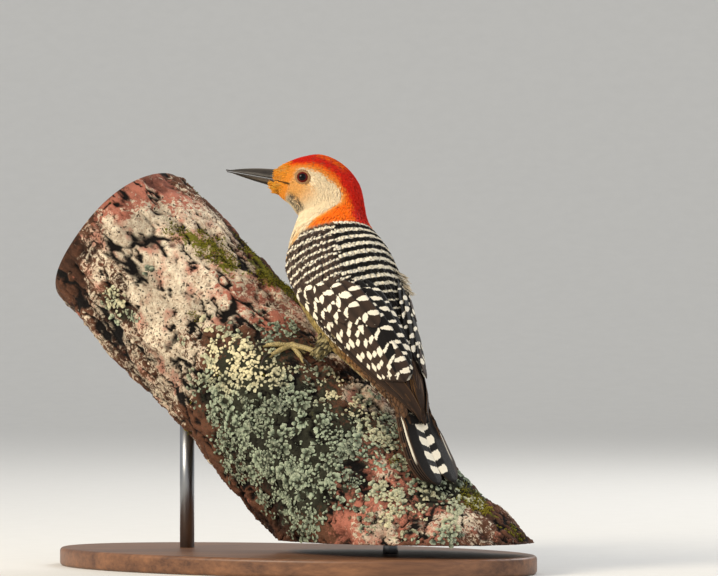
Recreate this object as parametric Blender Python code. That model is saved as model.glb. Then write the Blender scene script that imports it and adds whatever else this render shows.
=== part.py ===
"""A male red-bellied woodpecker clinging to a sawn length of limb, life size, on a plain display stand.

The bird is made as smooth solids that reach to the tips of its feathers: head, neck, trunk, wings,
tail, thighs, shanks, feet and claws. One line runs through it from the bill to the tail, and every
cross-section of the body stands on that line. Sizes here are in millimetres and are turned into
metres as each mesh is written. +X points to the low end of the limb, +Z up, and -Y to the viewer.
The origin is the centre of the underside of the base.
"""

import math

import bmesh
import bpy
import numpy as np
from mathutils import Matrix

MM = 0.001
GAP = 0.3  # left between neighbouring solids
SHARP_ANGLE = 40.0  # degrees between faces from which an edge shows

# The body's cross-sections, from the base of the bill to the root of the tail: the centre, how far the
# plumage reaches above it, below it and to each side, and which way the bird's back faces there.
BODY_SECTIONS = (
    # centre                above  below  side  back faces
    ((-10.3, -9.0, 213.2), 5.1, 5.3, 5.1, (0.03, 0.00, 1.00)),  # 0 base of the bill
    ((-5.8, -9.4, 213.4), 9.0, 9.8, 8.6, (0.26, 0.00, 0.96)),  # 1 lores
    ((-0.3, -9.8, 213.4), 12.6, 13.2, 11.4, (0.40, 0.00, 0.92)),  # 2 forehead
    ((6.2, -10.4, 212.4), 16.2, 16.0, 13.4, (0.55, -0.03, 0.84)),  # 3 eyes and crown
    ((12.9, -11.2, 208.4), 18.3, 18.0, 14.6, (0.74, -0.09, 0.67)),  # 4 back of the crown
    ((18.1, -12.0, 202.0), 19.0, 18.8, 15.4, (0.89, -0.19, 0.44)),  # 5 back of the head
    ((20.3, -13.4, 194.6), 18.4, 18.4, 16.4, (0.93, -0.33, 0.18)),  # 6 neck
    ((20.6, -16.0, 186.8), 20.0, 21.4, 19.8, (0.84, -0.48, 0.26)),  # 7 base of the neck
    ((21.6, -20.2, 176.8), 23.2, 26.0, 24.8, (0.70, -0.57, 0.43)),  # 8 shoulders
    ((25.6, -25.6, 165.0), 26.2, 29.6, 27.0, (0.62, -0.59, 0.52)),  # 9 breast
    ((30.6, -31.0, 151.6), 26.4, 28.0, 26.4, (0.60, -0.59, 0.54)),  # 10 middle of the back
    ((37.6, -37.4, 136.0), 24.6, 24.6, 24.0, (0.60, -0.59, 0.54)),  # 11 belly
    ((46.2, -43.8, 121.2), 19.8, 19.0, 19.2, (0.59, -0.61, 0.53)),  # 12 flanks
    ((54.2, -49.8, 107.2), 14.4, 13.2, 14.8, (0.58, -0.63, 0.52)),  # 13 rump
    ((61.0, -54.8, 94.8), 9.2, 8.0, 11.6, (0.57, -0.65, 0.51)),  # 14 root of the tail
    ((67.8, -60.6, 80.0), 3.6, 3.4, 10.4, (0.56, -0.66, 0.50)),  # 15 end of the coverts
    ((75.2, -68.4, 61.2), 2.4, 2.0, 10.0, (0.56, -0.66, 0.50)),  # 16 middle of the bare tail
    ((83.4, -75.6, 45.4), 2.0, 1.0, 6.0, (0.56, -0.66, 0.50)),  # 17 tip of the tail
)
HEAD_END, NECK_END, TRUNK_END = 5.6, 7.5, 14.7  # section numbers where the body is parted
BODY_STEP = 0.4  # sections between rings
BODY_SIDES = 24
LINE_STEP = 0.05  # sections between the two points that give the line's direction
TRUNK_ROOM_SECTIONS = (8.0, 14.01)  # the length of trunk that the thighs are cut to fit

BILL_TIP = (-37.4, -4.6, 217.4)
BILL_ABOVE, BILL_BELOW, BILL_SIDE = 4.5, 4.3, 4.3  # at its base
GAPE_SHARE = 0.15  # how far below the middle of the base the two halves meet
BILL_STEPS, BILL_SIDES = 9, 8
BILL_TAPER, BILL_SIDE_TAPER = 1.25, 1.1  # exponents: over 1 the sides bow outwards
BILL_FULLNESS = 0.8  # under 1 the half rings are fuller than an ellipse
CHISEL_HEIGHT, CHISEL_WIDTH = 0.07, 0.10  # what is left of the height and width at the tip
LOWER_REACH = 0.97  # the lower half's length beside the upper's

EYE_RADIUS = 3.9
EYE_SECTION = 2.92
EYE_RISE = 0.6  # above the line of the body
EYE_DEPTH = 2.6  # from the outline of the cheek to the middle of the eye
EYE_SEGMENTS = 16

# A wing's edges as angles round the body, from the middle of the back, at section numbers.
WING_EDGES = (
    # section, upper edge, lower edge, thickness, where across it is thickest, gap under it
    (7.95, 74.0, 98.0, 2.0, 0.60, 0.5),
    (8.25, 54.0, 116.0, 4.2, 0.74, 0.5),
    (8.7, 44.0, 122.0, 5.2, 0.78, 0.5),
    (9.5, 36.0, 121.0, 4.8, 0.72, 0.5),
    (10.4, 27.0, 111.0, 4.0, 0.62, 0.5),
    (11.3, 17.0, 103.0, 3.6, 0.52, 0.5),
    (12.2, 9.0, 96.0, 3.4, 0.50, 0.5),
    (13.0, 4.0, 84.0, 3.0, 0.50, 0.5),
    (13.7, 3.0, 70.0, 2.4, 0.50, 0.7),
    (14.3, 3.0, 48.0, 1.8, 0.50, 1.4),
    (14.8, 5.0, 20.0, 1.2, 0.50, 2.6),
)
WING_EDGE_THICKNESS = 0.7
WING_FULLNESS = 0.6  # under 1 the cross-section is fuller than a sine
WING_ROWS, WING_COLUMNS = 20, 8

TAIL_START, TAIL_END = 14.74, 17.0
TAIL_FEATHERS = 10
TAIL_HALF_WIDTHS = ((14.7, 11.0), (15.3, 14.6), (16.0, 15.6), (17.0, 14.6))
TAIL_THICKNESSES = ((14.7, 2.8), (15.5, 2.0), (17.0, 1.4))
TAIL_ROOF = 2.4  # how much lower the outer feathers lie than the middle pair
TAIL_ROWS = 8
TAIL_POINT, TAIL_POINT_BEND = 0.30, 1.3  # how much shorter the outer feathers are, and how it grows
TAIL_NOTCH, TAIL_RIDGE = 0.05, 0.3  # between feather tips, and from a feather's edge to its shaft

# Each leg: where its foot stands, as a share of the limb's length and degrees round it; the heel; the
# knee, which the flank hides; and +1 where its toes turn towards the viewer.
LEGS = {
    "left": (0.272, 33.0, (13.4, -40.0, 118.4), (23.0, -38.0, 131.0), 1),
    "right": (0.301, 83.0, (41.5, -15.3, 117.6), (40.5, -24.3, 131.0), -1),
}
# Toes: heading from straight up the limb, length of the toe, length of its claw.
TOES = ((56.0, 15.0, 8.5), (84.0, 14.0, 9.5), (178.0, 12.0, 8.0), (212.0, 8.0, 6.0))
TOE_RADIUS, PALM_RADIUS, SHANK_RADIUS = 1.35, 2.1, 1.5
TOE_SWELL, TOE_TAPER, TOE_KNUCKLE = 1.1, 0.3, 0.1
TOE_LIFT = 1.2  # height of a toe's middle in toe radii
ANKLE = 6.0  # how much of the shank the foot keeps, clear of the toe beneath it
CLAW_RADIUS, CLAW_TIP_RADIUS, CLAW_ARCH = 1.0, 0.25, 2.0
CLAW_SPAN = 0.8  # a hooked claw reaches this share of its length along the bark
LEG_STATIONS = 7  # along a toe or a claw
TOE_SIDES, CLAW_SIDES, SHANK_SIDES, THIGH_SIDES, PALM_SEGMENTS = 8, 6, 10, 14, 12
THIGH_RADII = (1.9, 3.4, 6.0, 8.0)  # from the heel up into the flank
THIGH_START = -0.08  # a little below the heel, as a share of the bone
BARK_GAP = 0.5  # between a toe and the bark, whose flat facets it must clear
CLAW_GAP = 0.6  # between a toe and its claw, whose ends are not quite parallel

# The limb's own line, from its high end to its low end, and its radius at each end.
LIMB_LINE = (
    (-98.0, 63.0, 181.5),
    (-39.0, 27.6, 122.4),
    (3.2, 0.0, 75.2),
    (36.0, -21.8, 39.6),
    (70.0, -44.0, 3.0),
    (104.0, -66.2, -33.6),
    (138.0, -88.4, -70.2),
)
LIMB_RADII = (47.5, 52.0)
LIMB_RINGS, LIMB_SIDES = 22, 32
LIMB_STEP = 0.02  # control points between the two points that give the line's direction
LIMB_FOOT_Z = 17.0  # the sawn flat under the limb
SAW_SIDE, SAW_HEIGHT = 600.0, 300.0

# The base is an oval board that lies along the limb.
BASE_HALF_LENGTH, BASE_HALF_WIDTH, BASE_THICKNESS, BASE_EDGE = 146.0, 84.0, 10.0, 2.0
BASE_TURN = -33.0  # degrees from +X
BASE_SEGMENTS, ROD_SEGMENTS = 48, 24
ROD_RADIUS, ROD_SOCKET = 4.0, 5.0
HIGH_ROD, LOW_ROD = (-60.0, 41.0), (52.0, -32.0)
HIGH_ROD_TOP = 88.0


# ---------------------------------------------------------------- curves and frames


def smooth_between(values, at):
    """A Catmull-Rom curve through equally spaced values, read at the position `at`."""
    values = np.asarray(values, float)
    last = len(values) - 1
    at = min(max(at, 0.0), float(last))
    i = min(int(at), last - 1)
    f = at - i
    before, after = values[max(i - 1, 0)], values[min(i + 2, last)]
    if i == 0:
        before = 2 * values[0] - values[1]
    if i + 2 > last:
        after = 2 * values[last] - values[last - 1]
    here, there = values[i], values[i + 1]
    return 0.5 * (
        2 * here
        + (there - before) * f
        + (2 * before - 5 * here + 4 * there - after) * f**2
        + (3 * here - 3 * there + after - before) * f**3
    )


def table_at(table, key):
    """Reads a table of rows (key, value, ...) at any key, by straight lines between rows."""
    keys = [row[0] for row in table]
    return [np.interp(key, keys, column) for column in list(zip(*table))[1:]]


def unit(vector):
    vector = np.asarray(vector, float)
    return vector / np.linalg.norm(vector)


def body_frame(section):
    """Centre, direction to the tail, direction of the back and of the bird's left, at a section."""
    centres = [row[0] for row in BODY_SECTIONS]
    behind, ahead = (smooth_between(centres, section + step) for step in (-LINE_STEP, LINE_STEP))
    tailward = unit(ahead - behind)
    back = unit(smooth_between([row[4] for row in BODY_SECTIONS], section))
    left = unit(np.cross(tailward, back))
    return smooth_between(centres, section), tailward, back, left


def body_point(section, degrees, out=0.0):
    """A point on the plumage: degrees run from the middle of the back over the bird's left side."""
    centre, _, back, left = body_frame(section)
    above, below, side = smooth_between([row[1:4] for row in BODY_SECTIONS], section)
    angle = math.radians(degrees)
    height = (above if math.cos(angle) > 0 else below) + out
    return centre + back * height * math.cos(angle) + left * (side + out) * math.sin(angle)


def body_ring(section):
    return [body_point(section, 360.0 * k / BODY_SIDES) for k in range(BODY_SIDES)]


# ---------------------------------------------------------------- meshes and objects


def material(name, colour, roughness, metallic=0.0):
    found = bpy.data.materials.get(name)
    if found:
        return found
    made = bpy.data.materials.new(name)
    made.use_nodes = True
    shader = made.node_tree.nodes["Principled BSDF"]
    shader.inputs["Base Color"].default_value = (*colour, 1.0)
    shader.inputs["Roughness"].default_value = roughness
    shader.inputs["Metallic"].default_value = metallic
    return made


RED_PLUMAGE = ("red_plumage", (0.80, 0.07, 0.01), 0.8)
CREAM_PLUMAGE = ("cream_plumage", (0.62, 0.50, 0.34), 0.8)
BARRED_PLUMAGE = ("barred_plumage", (0.18, 0.16, 0.14), 0.8)
BLACK_FEATHER = ("black_feather", (0.03, 0.025, 0.022), 0.6)
BILL_HORN = ("bill_horn", (0.06, 0.055, 0.05), 0.35)
EYE_BROWN = ("eye_brown", (0.12, 0.01, 0.008), 0.1)
SCALY_SKIN = ("scaly_skin", (0.28, 0.25, 0.17), 0.6)
BARK = ("bark", (0.22, 0.13, 0.09), 0.9)
STAND_WOOD = ("stand_wood", (0.10, 0.05, 0.03), 0.4)
STAND_STEEL = ("stand_steel", (0.55, 0.55, 0.55), 0.3, 1.0)


def add_object(name, bm, finish, helper=False):
    """Writes a bmesh made in millimetres as an object, with its faces pointing out."""
    bmesh.ops.recalc_face_normals(bm, faces=bm.faces)
    bmesh.ops.scale(bm, vec=(MM, MM, MM), verts=bm.verts)
    mesh = bpy.data.meshes.new(name)
    bm.to_mesh(mesh)
    bm.free()
    mesh.shade_smooth()
    mesh.set_sharp_from_angle(angle=math.radians(SHARP_ANGLE))
    made = bpy.data.objects.new(name, mesh)
    bpy.context.scene.collection.objects.link(made)
    if helper:
        made.hide_render = True
        made.display_type = "WIRE"
    else:
        mesh.materials.append(material(*finish))
    return made


def boolean(target, other, operation):
    modifier = target.modifiers.new(f"{operation.lower()} {other.name}", "BOOLEAN")
    modifier.operation = operation
    modifier.solver = "EXACT"
    modifier.object = other


def add_rings(bm, rings):
    """Joins rings of equal length into a tube and closes both of its ends."""
    loops = [[bm.verts.new(point) for point in ring] for ring in rings]
    sides = len(loops[0])
    for first, second in zip(loops, loops[1:]):
        for k in range(sides):
            n = (k + 1) % sides
            bm.faces.new((first[k], first[n], second[n], second[k]))
    bm.faces.new(loops[0])
    bm.faces.new(list(reversed(loops[-1])))


def loft(name, rings, finish, helper=False):
    bm = bmesh.new()
    add_rings(bm, rings)
    return add_object(name, bm, finish, helper=helper)


def add_shell(name, outer, inner, finish):
    """A closed shell between two grids of points of the same size."""
    bm = bmesh.new()
    top = [[bm.verts.new(point) for point in row] for row in outer]
    bottom = [[bm.verts.new(point) for point in row] for row in inner]
    rows, columns = len(top), len(top[0])
    for i in range(rows - 1):
        for j in range(columns - 1):
            for grid in (top, bottom):
                bm.faces.new((grid[i][j], grid[i][j + 1], grid[i + 1][j + 1], grid[i + 1][j]))
    border = [(0, j) for j in range(columns)] + [(i, columns - 1) for i in range(1, rows)]
    border += [(rows - 1, j) for j in range(columns - 2, -1, -1)] + [(i, 0) for i in range(rows - 2, 0, -1)]
    for (i, j), (m, n) in zip(border, border[1:] + border[:1]):
        bm.faces.new((top[i][j], top[m][n], bottom[m][n], bottom[i][j]))
    return add_object(name, bm, finish)


def tube_rings(path, radii, sides):
    """Rings round a path, kept from twisting."""
    path = np.asarray(path, float)
    normal = None
    rings = []
    for i, point in enumerate(path):
        along = unit(path[min(i + 1, len(path) - 1)] - path[max(i - 1, 0)])
        if normal is None:
            normal = np.cross(along, (0.0, 0.0, 1.0) if abs(along[2]) < 0.9 else (0.0, 1.0, 0.0))
        normal = unit(normal - np.dot(normal, along) * along)
        other = np.cross(along, normal)
        angles = [2 * math.pi * k / sides for k in range(sides)]
        rings.append([point + radii[i] * (normal * math.cos(a) + other * math.sin(a)) for a in angles])
    return rings


def add_ball(name, centre, radius, finish, segments, helper=False):
    bm = bmesh.new()
    bmesh.ops.create_uvsphere(bm, u_segments=segments, v_segments=segments // 2, radius=radius)
    bmesh.ops.translate(bm, vec=tuple(centre), verts=bm.verts)
    return add_object(name, bm, finish, helper=helper)


def add_cylinder(name, centre, radius, low, high, finish, helper=False):
    bm = bmesh.new()
    size = {"radius1": radius, "radius2": radius, "depth": high - low}
    bmesh.ops.create_cone(bm, cap_ends=True, segments=ROD_SEGMENTS, **size)
    bmesh.ops.translate(bm, vec=(centre[0], centre[1], (low + high) / 2), verts=bm.verts)
    return add_object(name, bm, finish, helper=helper)


def add_base():
    """An oval board with its two rims rounded."""
    bm = bmesh.new()
    size = {"radius1": 1.0, "radius2": 1.0, "depth": BASE_THICKNESS}
    bmesh.ops.create_cone(bm, cap_ends=True, segments=BASE_SEGMENTS, **size)
    bmesh.ops.scale(bm, vec=(BASE_HALF_LENGTH, BASE_HALF_WIDTH, 1.0), verts=bm.verts)
    turn = Matrix.Rotation(math.radians(BASE_TURN), 3, "Z")
    bmesh.ops.rotate(bm, cent=(0.0, 0.0, 0.0), matrix=turn, verts=bm.verts)
    bmesh.ops.translate(bm, vec=(0.0, 0.0, BASE_THICKNESS / 2), verts=bm.verts)
    rims = [e for e in bm.edges if abs(e.verts[0].co.z - e.verts[1].co.z) < 1e-6]
    bmesh.ops.bevel(bm, geom=rims, offset=BASE_EDGE, segments=2, profile=0.5, affect="EDGES")
    return add_object("stand_base", bm, STAND_WOOD)


# ---------------------------------------------------------------- head, neck and trunk


def part_of_body(name, start, end, finish):
    """One length of the body, closed by flat ends that stand across its line."""
    count = max(2, round((end - start) / BODY_STEP) + 1)
    return loft(name, [body_ring(s) for s in np.linspace(start, end, count)], finish)


def parting(section):
    """The section number that lies one GAP further towards the tail."""
    centres = [row[0] for row in BODY_SECTIONS]
    here, there = (smooth_between(centres, section + step) for step in (0.0, LINE_STEP))
    return section + GAP / np.linalg.norm(there - here) * LINE_STEP


def eye_centre(side):
    """side is 1 for the bird's left eye and -1 for its right."""
    centre, _, back, left = body_frame(EYE_SECTION)
    half_width = smooth_between([row[3] for row in BODY_SECTIONS], EYE_SECTION)
    return centre + back * EYE_RISE + left * side * (half_width - EYE_DEPTH)


def add_head_and_body():
    head = part_of_body("head", 0.0, HEAD_END, RED_PLUMAGE)
    part_of_body("neck", parting(HEAD_END), NECK_END, CREAM_PLUMAGE)
    part_of_body("trunk", parting(NECK_END), TRUNK_END, BARRED_PLUMAGE)
    for name, side in (("left", 1), ("right", -1)):
        add_ball(f"eye_{name}", eye_centre(side), EYE_RADIUS, EYE_BROWN, EYE_SEGMENTS)
        socket = add_ball(f"socket_{name}", eye_centre(side), EYE_RADIUS + GAP, None, EYE_SEGMENTS, True)
        boolean(head, socket, "DIFFERENCE")


def bill_rings(upper):
    """Rings of one half of the bill, from just in front of the face to the chisel tip."""
    base, _, back, left = body_frame(0.0)
    tip = np.array(BILL_TIP)
    forward = unit(tip - base)
    start = base + forward * GAP
    gape = start - back * BILL_BELOW * GAPE_SHARE
    rings = []
    for share in np.linspace(0.0, 1.0, BILL_STEPS):
        size = max(1.0 - share**BILL_TAPER, CHISEL_HEIGHT)
        middle = gape + (tip - gape) * share * (1.0 if upper else LOWER_REACH)
        height = (BILL_ABOVE + BILL_BELOW * GAPE_SHARE if upper else BILL_BELOW * (1 - GAPE_SHARE)) * size
        width = BILL_SIDE * max(1.0 - share**BILL_SIDE_TAPER, CHISEL_WIDTH)
        ring = []
        for k in range(BILL_SIDES + 1):
            angle = math.pi * k / BILL_SIDES
            lift = (GAP / 2 + height * math.sin(angle) ** BILL_FULLNESS) * (1 if upper else -1)
            ring.append(middle + back * lift + left * width * math.cos(angle))
        rings.append(ring)
    return rings


# ---------------------------------------------------------------- wings and tail


def wing_grids(side):
    outer, inner = [], []
    for section in np.linspace(WING_EDGES[0][0], WING_EDGES[-1][0], WING_ROWS):
        upper, lower, thickness, thickest, bed_gap = table_at(WING_EDGES, section)
        skew = math.log(0.5) / math.log(thickest)
        outer_row, inner_row = [], []
        for j in range(WING_COLUMNS + 1):
            share = j / WING_COLUMNS
            degrees = side * (upper + (lower - upper) * share)
            rise = thickness * abs(math.sin(math.pi * share**skew)) ** WING_FULLNESS
            out = bed_gap + max(rise, WING_EDGE_THICKNESS)
            outer_row.append(body_point(section, degrees, out))
            inner_row.append(body_point(section, degrees, bed_gap))
        outer.append(outer_row)
        inner.append(inner_row)
    return outer, inner


def tail_grids():
    """The closed tail: stiff feathers side by side like a low roof, the middle pair the longest."""
    columns = TAIL_FEATHERS * 2
    top, bottom = [], []
    for i in range(TAIL_ROWS + 1):
        top_row, bottom_row = [], []
        for j in range(columns + 1):
            across = 2.0 * j / columns - 1.0
            notch = TAIL_NOTCH if j % 2 == 0 else 0.0
            length = 1.0 - TAIL_POINT * abs(across) ** TAIL_POINT_BEND - notch
            section = TAIL_START + (TAIL_END - TAIL_START) * length * i / TAIL_ROWS
            centre, _, back, left = body_frame(section)
            (half_width,) = table_at(TAIL_HALF_WIDTHS, section)
            (thickness,) = table_at(TAIL_THICKNESSES, section)
            ridge = TAIL_RIDGE if j % 2 else -TAIL_RIDGE
            height = ridge - TAIL_ROOF * across**2
            place = centre + left * half_width * across + back * height
            top_row.append(place + back * thickness / 2)
            bottom_row.append(place - back * thickness / 2)
        top.append(top_row)
        bottom.append(bottom_row)
    return top, bottom


# ---------------------------------------------------------------- limb


def limb_frame(share):
    """Centre of the limb, direction to its low end, and two directions across it."""
    at = share * (len(LIMB_LINE) - 1)
    behind, ahead = (smooth_between(LIMB_LINE, at + step) for step in (-LIMB_STEP, LIMB_STEP))
    downward = unit(ahead - behind)
    toward_viewer = unit(np.array((0.0, -1.0, 0.0)) + downward * downward[1])
    upward = np.cross(toward_viewer, downward)
    return smooth_between(LIMB_LINE, at), downward, toward_viewer, upward


def limb_point(share, degrees, height=0.0):
    """A point on the bark. degrees run from the side that faces the viewer up over the limb."""
    centre, _, toward_viewer, upward = limb_frame(share)
    angle = math.radians(degrees)
    swell = 1 + 0.025 * math.sin(2 * angle) + 0.015 * math.sin(3 * angle - 13 * share)
    swell += 0.010 * math.sin(5 * angle + 25 * share)
    radius = (LIMB_RADII[0] + (LIMB_RADII[1] - LIMB_RADII[0]) * share) * swell + height
    return centre + radius * (toward_viewer * math.cos(angle) + upward * math.sin(angle))


# ---------------------------------------------------------------- legs


def on_bark(foot, heading, distance, height):
    """A point at a height over the bark, at a distance from the foot along a heading."""
    along, around = foot
    angle = math.radians(heading)
    length = sum(np.linalg.norm(np.subtract(b, a)) for a, b in zip(LIMB_LINE, LIMB_LINE[1:]))
    radius = (LIMB_RADII[0] + LIMB_RADII[1]) / 2
    share = along - distance * math.cos(angle) / length
    return limb_point(share, around - math.degrees(distance * math.sin(angle) / radius), height)


def add_toes(name, foot, turn):
    """The palm with its four toes joined to it, and a claw before each toe."""
    palm = on_bark(foot, 0, 0, BARK_GAP + PALM_RADIUS)
    toes = add_ball(f"foot_{name}", palm, PALM_RADIUS, SCALY_SKIN, PALM_SEGMENTS)
    shares = np.linspace(0, 1, LEG_STATIONS)
    lift = TOE_RADIUS * TOE_LIFT
    for k, (heading, length, claw) in enumerate(TOES, 1):
        knuckles = [TOE_KNUCKLE * math.cos(4 * math.pi * t) for t in shares]
        radii = [TOE_RADIUS * (TOE_SWELL - TOE_TAPER * t + bump) for t, bump in zip(shares, knuckles)]
        path = [on_bark(foot, turn * heading, length * t, BARK_GAP + lift) for t in shares]
        toe = loft(f"toe_{name}_{k}", tube_rings(path, radii, TOE_SIDES), None, helper=True)
        boolean(toes, toe, "UNION")
        path, radii = [], []
        for t in shares:
            arch = CLAW_ARCH * 2 * t * (1 - t)
            height = BARK_GAP + lift * (1 - t**2) + CLAW_TIP_RADIUS * t + arch
            path.append(on_bark(foot, turn * heading, length + CLAW_GAP + claw * CLAW_SPAN * t, height))
            radii.append(CLAW_RADIUS + (CLAW_TIP_RADIUS - CLAW_RADIUS) * t)
        loft(f"claw_{name}_{k}", tube_rings(path, radii, CLAW_SIDES), BILL_HORN)
    return toes, palm


def add_leg(name, along, around, heel, knee, turn):
    toes, palm = add_toes(name, (along, around), turn)
    heel, knee = np.array(heel), np.array(knee)
    down = unit(palm - heel)
    ankle = [palm - down * ANKLE * t for t in (1.0, 0.5, 0.0)]
    stub = tube_rings(ankle, [SHANK_RADIUS] * len(ankle), SHANK_SIDES)
    boolean(toes, loft(f"ankle_{name}", stub, None, helper=True), "UNION")
    shank = [heel + (ankle[0] - down * GAP - heel) * t for t in np.linspace(0, 1, 4)]
    loft(f"shank_{name}", tube_rings(shank, [SHANK_RADIUS] * len(shank), SHANK_SIDES), SCALY_SKIN)
    shank[0] = heel - down * GAP
    room = tube_rings(shank, [SHANK_RADIUS + GAP] * len(shank), SHANK_SIDES)
    shank_room = loft(f"shank_room_{name}", room, None, helper=True)
    bone = [heel + (knee - heel) * t for t in np.linspace(THIGH_START, 1, len(THIGH_RADII))]
    thigh = loft(f"thigh_{name}", tube_rings(bone, THIGH_RADII, THIGH_SIDES), CREAM_PLUMAGE)
    boolean(thigh, shank_room, "DIFFERENCE")
    boolean(thigh, bpy.data.objects["trunk_room"], "DIFFERENCE")


def add_legs():
    rings = [
        [body_point(s, 360.0 * k / BODY_SIDES, GAP) for k in range(BODY_SIDES)]
        for s in np.arange(*TRUNK_ROOM_SECTIONS, BODY_STEP)
    ]
    loft("trunk_room", rings, None, helper=True)
    for name, (along, around, heel, knee, turn) in LEGS.items():
        add_leg(name, along, around, heel, knee, turn)


# ---------------------------------------------------------------- stand


def add_limb_and_stand():
    rings = [
        [limb_point(i / LIMB_RINGS, 360.0 * k / LIMB_SIDES) for k in range(LIMB_SIDES)]
        for i in range(LIMB_RINGS + 1)
    ]
    limb = loft("perch_limb", rings, BARK)
    saw = bmesh.new()
    bmesh.ops.create_cube(saw, size=1.0)
    bmesh.ops.scale(saw, vec=(SAW_SIDE, SAW_SIDE, SAW_HEIGHT), verts=saw.verts)
    bmesh.ops.translate(saw, vec=(0.0, 0.0, LIMB_FOOT_Z - SAW_HEIGHT / 2), verts=saw.verts)
    boolean(limb, add_object("saw_cut", saw, None, helper=True), "DIFFERENCE")
    base = add_base()
    rods = (("high", HIGH_ROD, HIGH_ROD_TOP), ("low", LOW_ROD, LIMB_FOOT_Z + ROD_SOCKET))
    for name, place, top in rods:
        bottom = BASE_THICKNESS - ROD_SOCKET
        add_cylinder(f"stand_rod_{name}", place, ROD_RADIUS, bottom, top, STAND_STEEL)
        hole = add_cylinder(f"hole_{name}", place, ROD_RADIUS + GAP, bottom - GAP, top + GAP, None, True)
        boolean(base, hole, "DIFFERENCE")
        boolean(limb, hole, "DIFFERENCE")


def main():
    for old in list(bpy.data.objects):
        bpy.data.objects.remove(old)
    add_head_and_body()
    loft("bill_upper", bill_rings(True), BILL_HORN)
    loft("bill_lower", bill_rings(False), BILL_HORN)
    for name, side in (("left", 1), ("right", -1)):
        add_shell(f"wing_{name}", *wing_grids(side), BARRED_PLUMAGE)
    add_shell("tail", *tail_grids(), BLACK_FEATHER)
    add_limb_and_stand()
    add_legs()


main()
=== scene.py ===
# %% [markdown]
# # A woodpecker on a cut limb
#
# This lesson dresses a plain model of a male red-bellied woodpecker as a museum would show it: feather by
# feather, on a sawn length of limb, on an oval board. The plain model is the frame. It gives every outline,
# and what is made here lies inside it or just on it.
#
# The frame is loaded first, and each of its parts is set down in place in the world.

import math

import bpy
import numpy as np
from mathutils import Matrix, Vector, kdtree


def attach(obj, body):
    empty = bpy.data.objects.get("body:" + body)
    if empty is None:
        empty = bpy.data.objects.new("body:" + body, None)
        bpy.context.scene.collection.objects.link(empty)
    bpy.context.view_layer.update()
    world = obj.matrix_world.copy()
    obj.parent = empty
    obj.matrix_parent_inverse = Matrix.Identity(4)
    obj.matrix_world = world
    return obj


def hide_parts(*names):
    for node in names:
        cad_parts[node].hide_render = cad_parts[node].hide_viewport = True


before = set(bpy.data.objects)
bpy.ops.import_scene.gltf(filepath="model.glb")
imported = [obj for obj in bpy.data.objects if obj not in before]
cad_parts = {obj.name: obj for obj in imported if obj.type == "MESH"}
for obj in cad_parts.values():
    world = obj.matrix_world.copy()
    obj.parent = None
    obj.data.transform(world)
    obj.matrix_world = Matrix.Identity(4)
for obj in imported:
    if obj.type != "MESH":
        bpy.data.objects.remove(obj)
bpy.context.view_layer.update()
MM = 0.001  # every size below is in millimetres until a mesh is written


# %% [markdown]
# ## Helpers
#
# Colours are written the way a painter's chart gives them, as sRGB hex values, and Blender's sockets want
# linear light, so one function turns one into the other. One feeds sockets, one adds a node with its settings
# and links, and one starts a material. Meshes are made from arrays of points, because a bird has thousands of
# feathers that follow one rule.

# %% Colours and nodes
def linear(code):
    """An sRGB hex colour as linear red, green and blue."""
    channels = [int(code[i : i + 2], 16) / 255 for i in (1, 3, 5)]
    return np.array([c / 12.92 if c <= 0.04045 else ((c + 0.055) / 1.055) ** 2.4 for c in channels])


def rgba(code):
    return (*linear(code), 1.0)


def feed(tree, node, **inputs):
    """Sets sockets, by name or as _2 for number 2, to a value, an output or a node's first output in use."""
    for key, value in inputs.items():
        socket = node.inputs[int(key[1:]) if key[1:].isdigit() else key.replace("_", " ")]
        if isinstance(value, bpy.types.Node):
            value = next(output for output in value.outputs if output.enabled)
        if isinstance(value, bpy.types.NodeSocket):
            tree.links.new(value, socket)
        else:
            socket.default_value = value


def add_node(tree, kind, *in_order, **more):
    """Adds a node. Unnamed inputs fill its first sockets, and a name in small letters is a setting."""
    node = tree.nodes.new(f"ShaderNode{kind}")
    for key in [key for key in more if key[0].islower()]:
        setattr(node, key, more.pop(key))
    feed(tree, node, **{f"_{number}": value for number, value in enumerate(in_order)}, **more)
    return node


def start_material(name, **shader_values):
    """A new material, its tree and its shader, whose sockets take the values given."""
    made = bpy.data.materials.new(name)
    made.use_nodes = True
    shader = made.node_tree.nodes["Principled BSDF"]
    feed(made.node_tree, shader, **shader_values)
    return made, made.node_tree, shader


# %% Arrays of points
def unit(vectors):
    vectors = np.asarray(vectors, float)
    return vectors / np.maximum(np.linalg.norm(vectors, axis=-1, keepdims=True), 1e-12)


def ease(low, high, value):
    """0 below low, 1 above high, and a smooth climb between them; high may be the lower one."""
    share = np.clip((value - low) / (high - low), 0.0, 1.0)
    return share * share * (3 - 2 * share)


def blend(first, second, share):
    """Mixes two colours, or arrays of them, by an array of shares."""
    return first + (second - first) * np.asarray(share)[..., None]


def band(value, start, full, fading, end):
    """0 outside start and end and 1 between full and fading, with a smooth climb and fall."""
    return ease(start, full, value) * ease(end, fading, value)


def smooth_between(values, at):
    """A Catmull-Rom curve through equally spaced values, read at every position in `at`."""
    values = np.asarray(values, float)
    at = np.clip(np.asarray(at, float), 0.0, len(values) - 1.0)
    padded = np.vstack([2 * values[0] - values[1], values, 2 * values[-1] - values[-2]])
    i = np.minimum(at.astype(int), len(values) - 2)
    f = (at - i)[..., None]
    a, b, c, d = (padded[i + k] for k in range(4))
    return 0.5 * (2 * b + (c - a) * f + (2 * a - 5 * b + 4 * c - d) * f**2 + (3 * b - 3 * c + d - a) * f**3)


def column(table, number, at):
    """Reads one column of a table whose first column rises, by straight lines between its rows."""
    table = np.asarray(table, float)
    return np.interp(at, table[:, 0], table[:, number])


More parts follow.
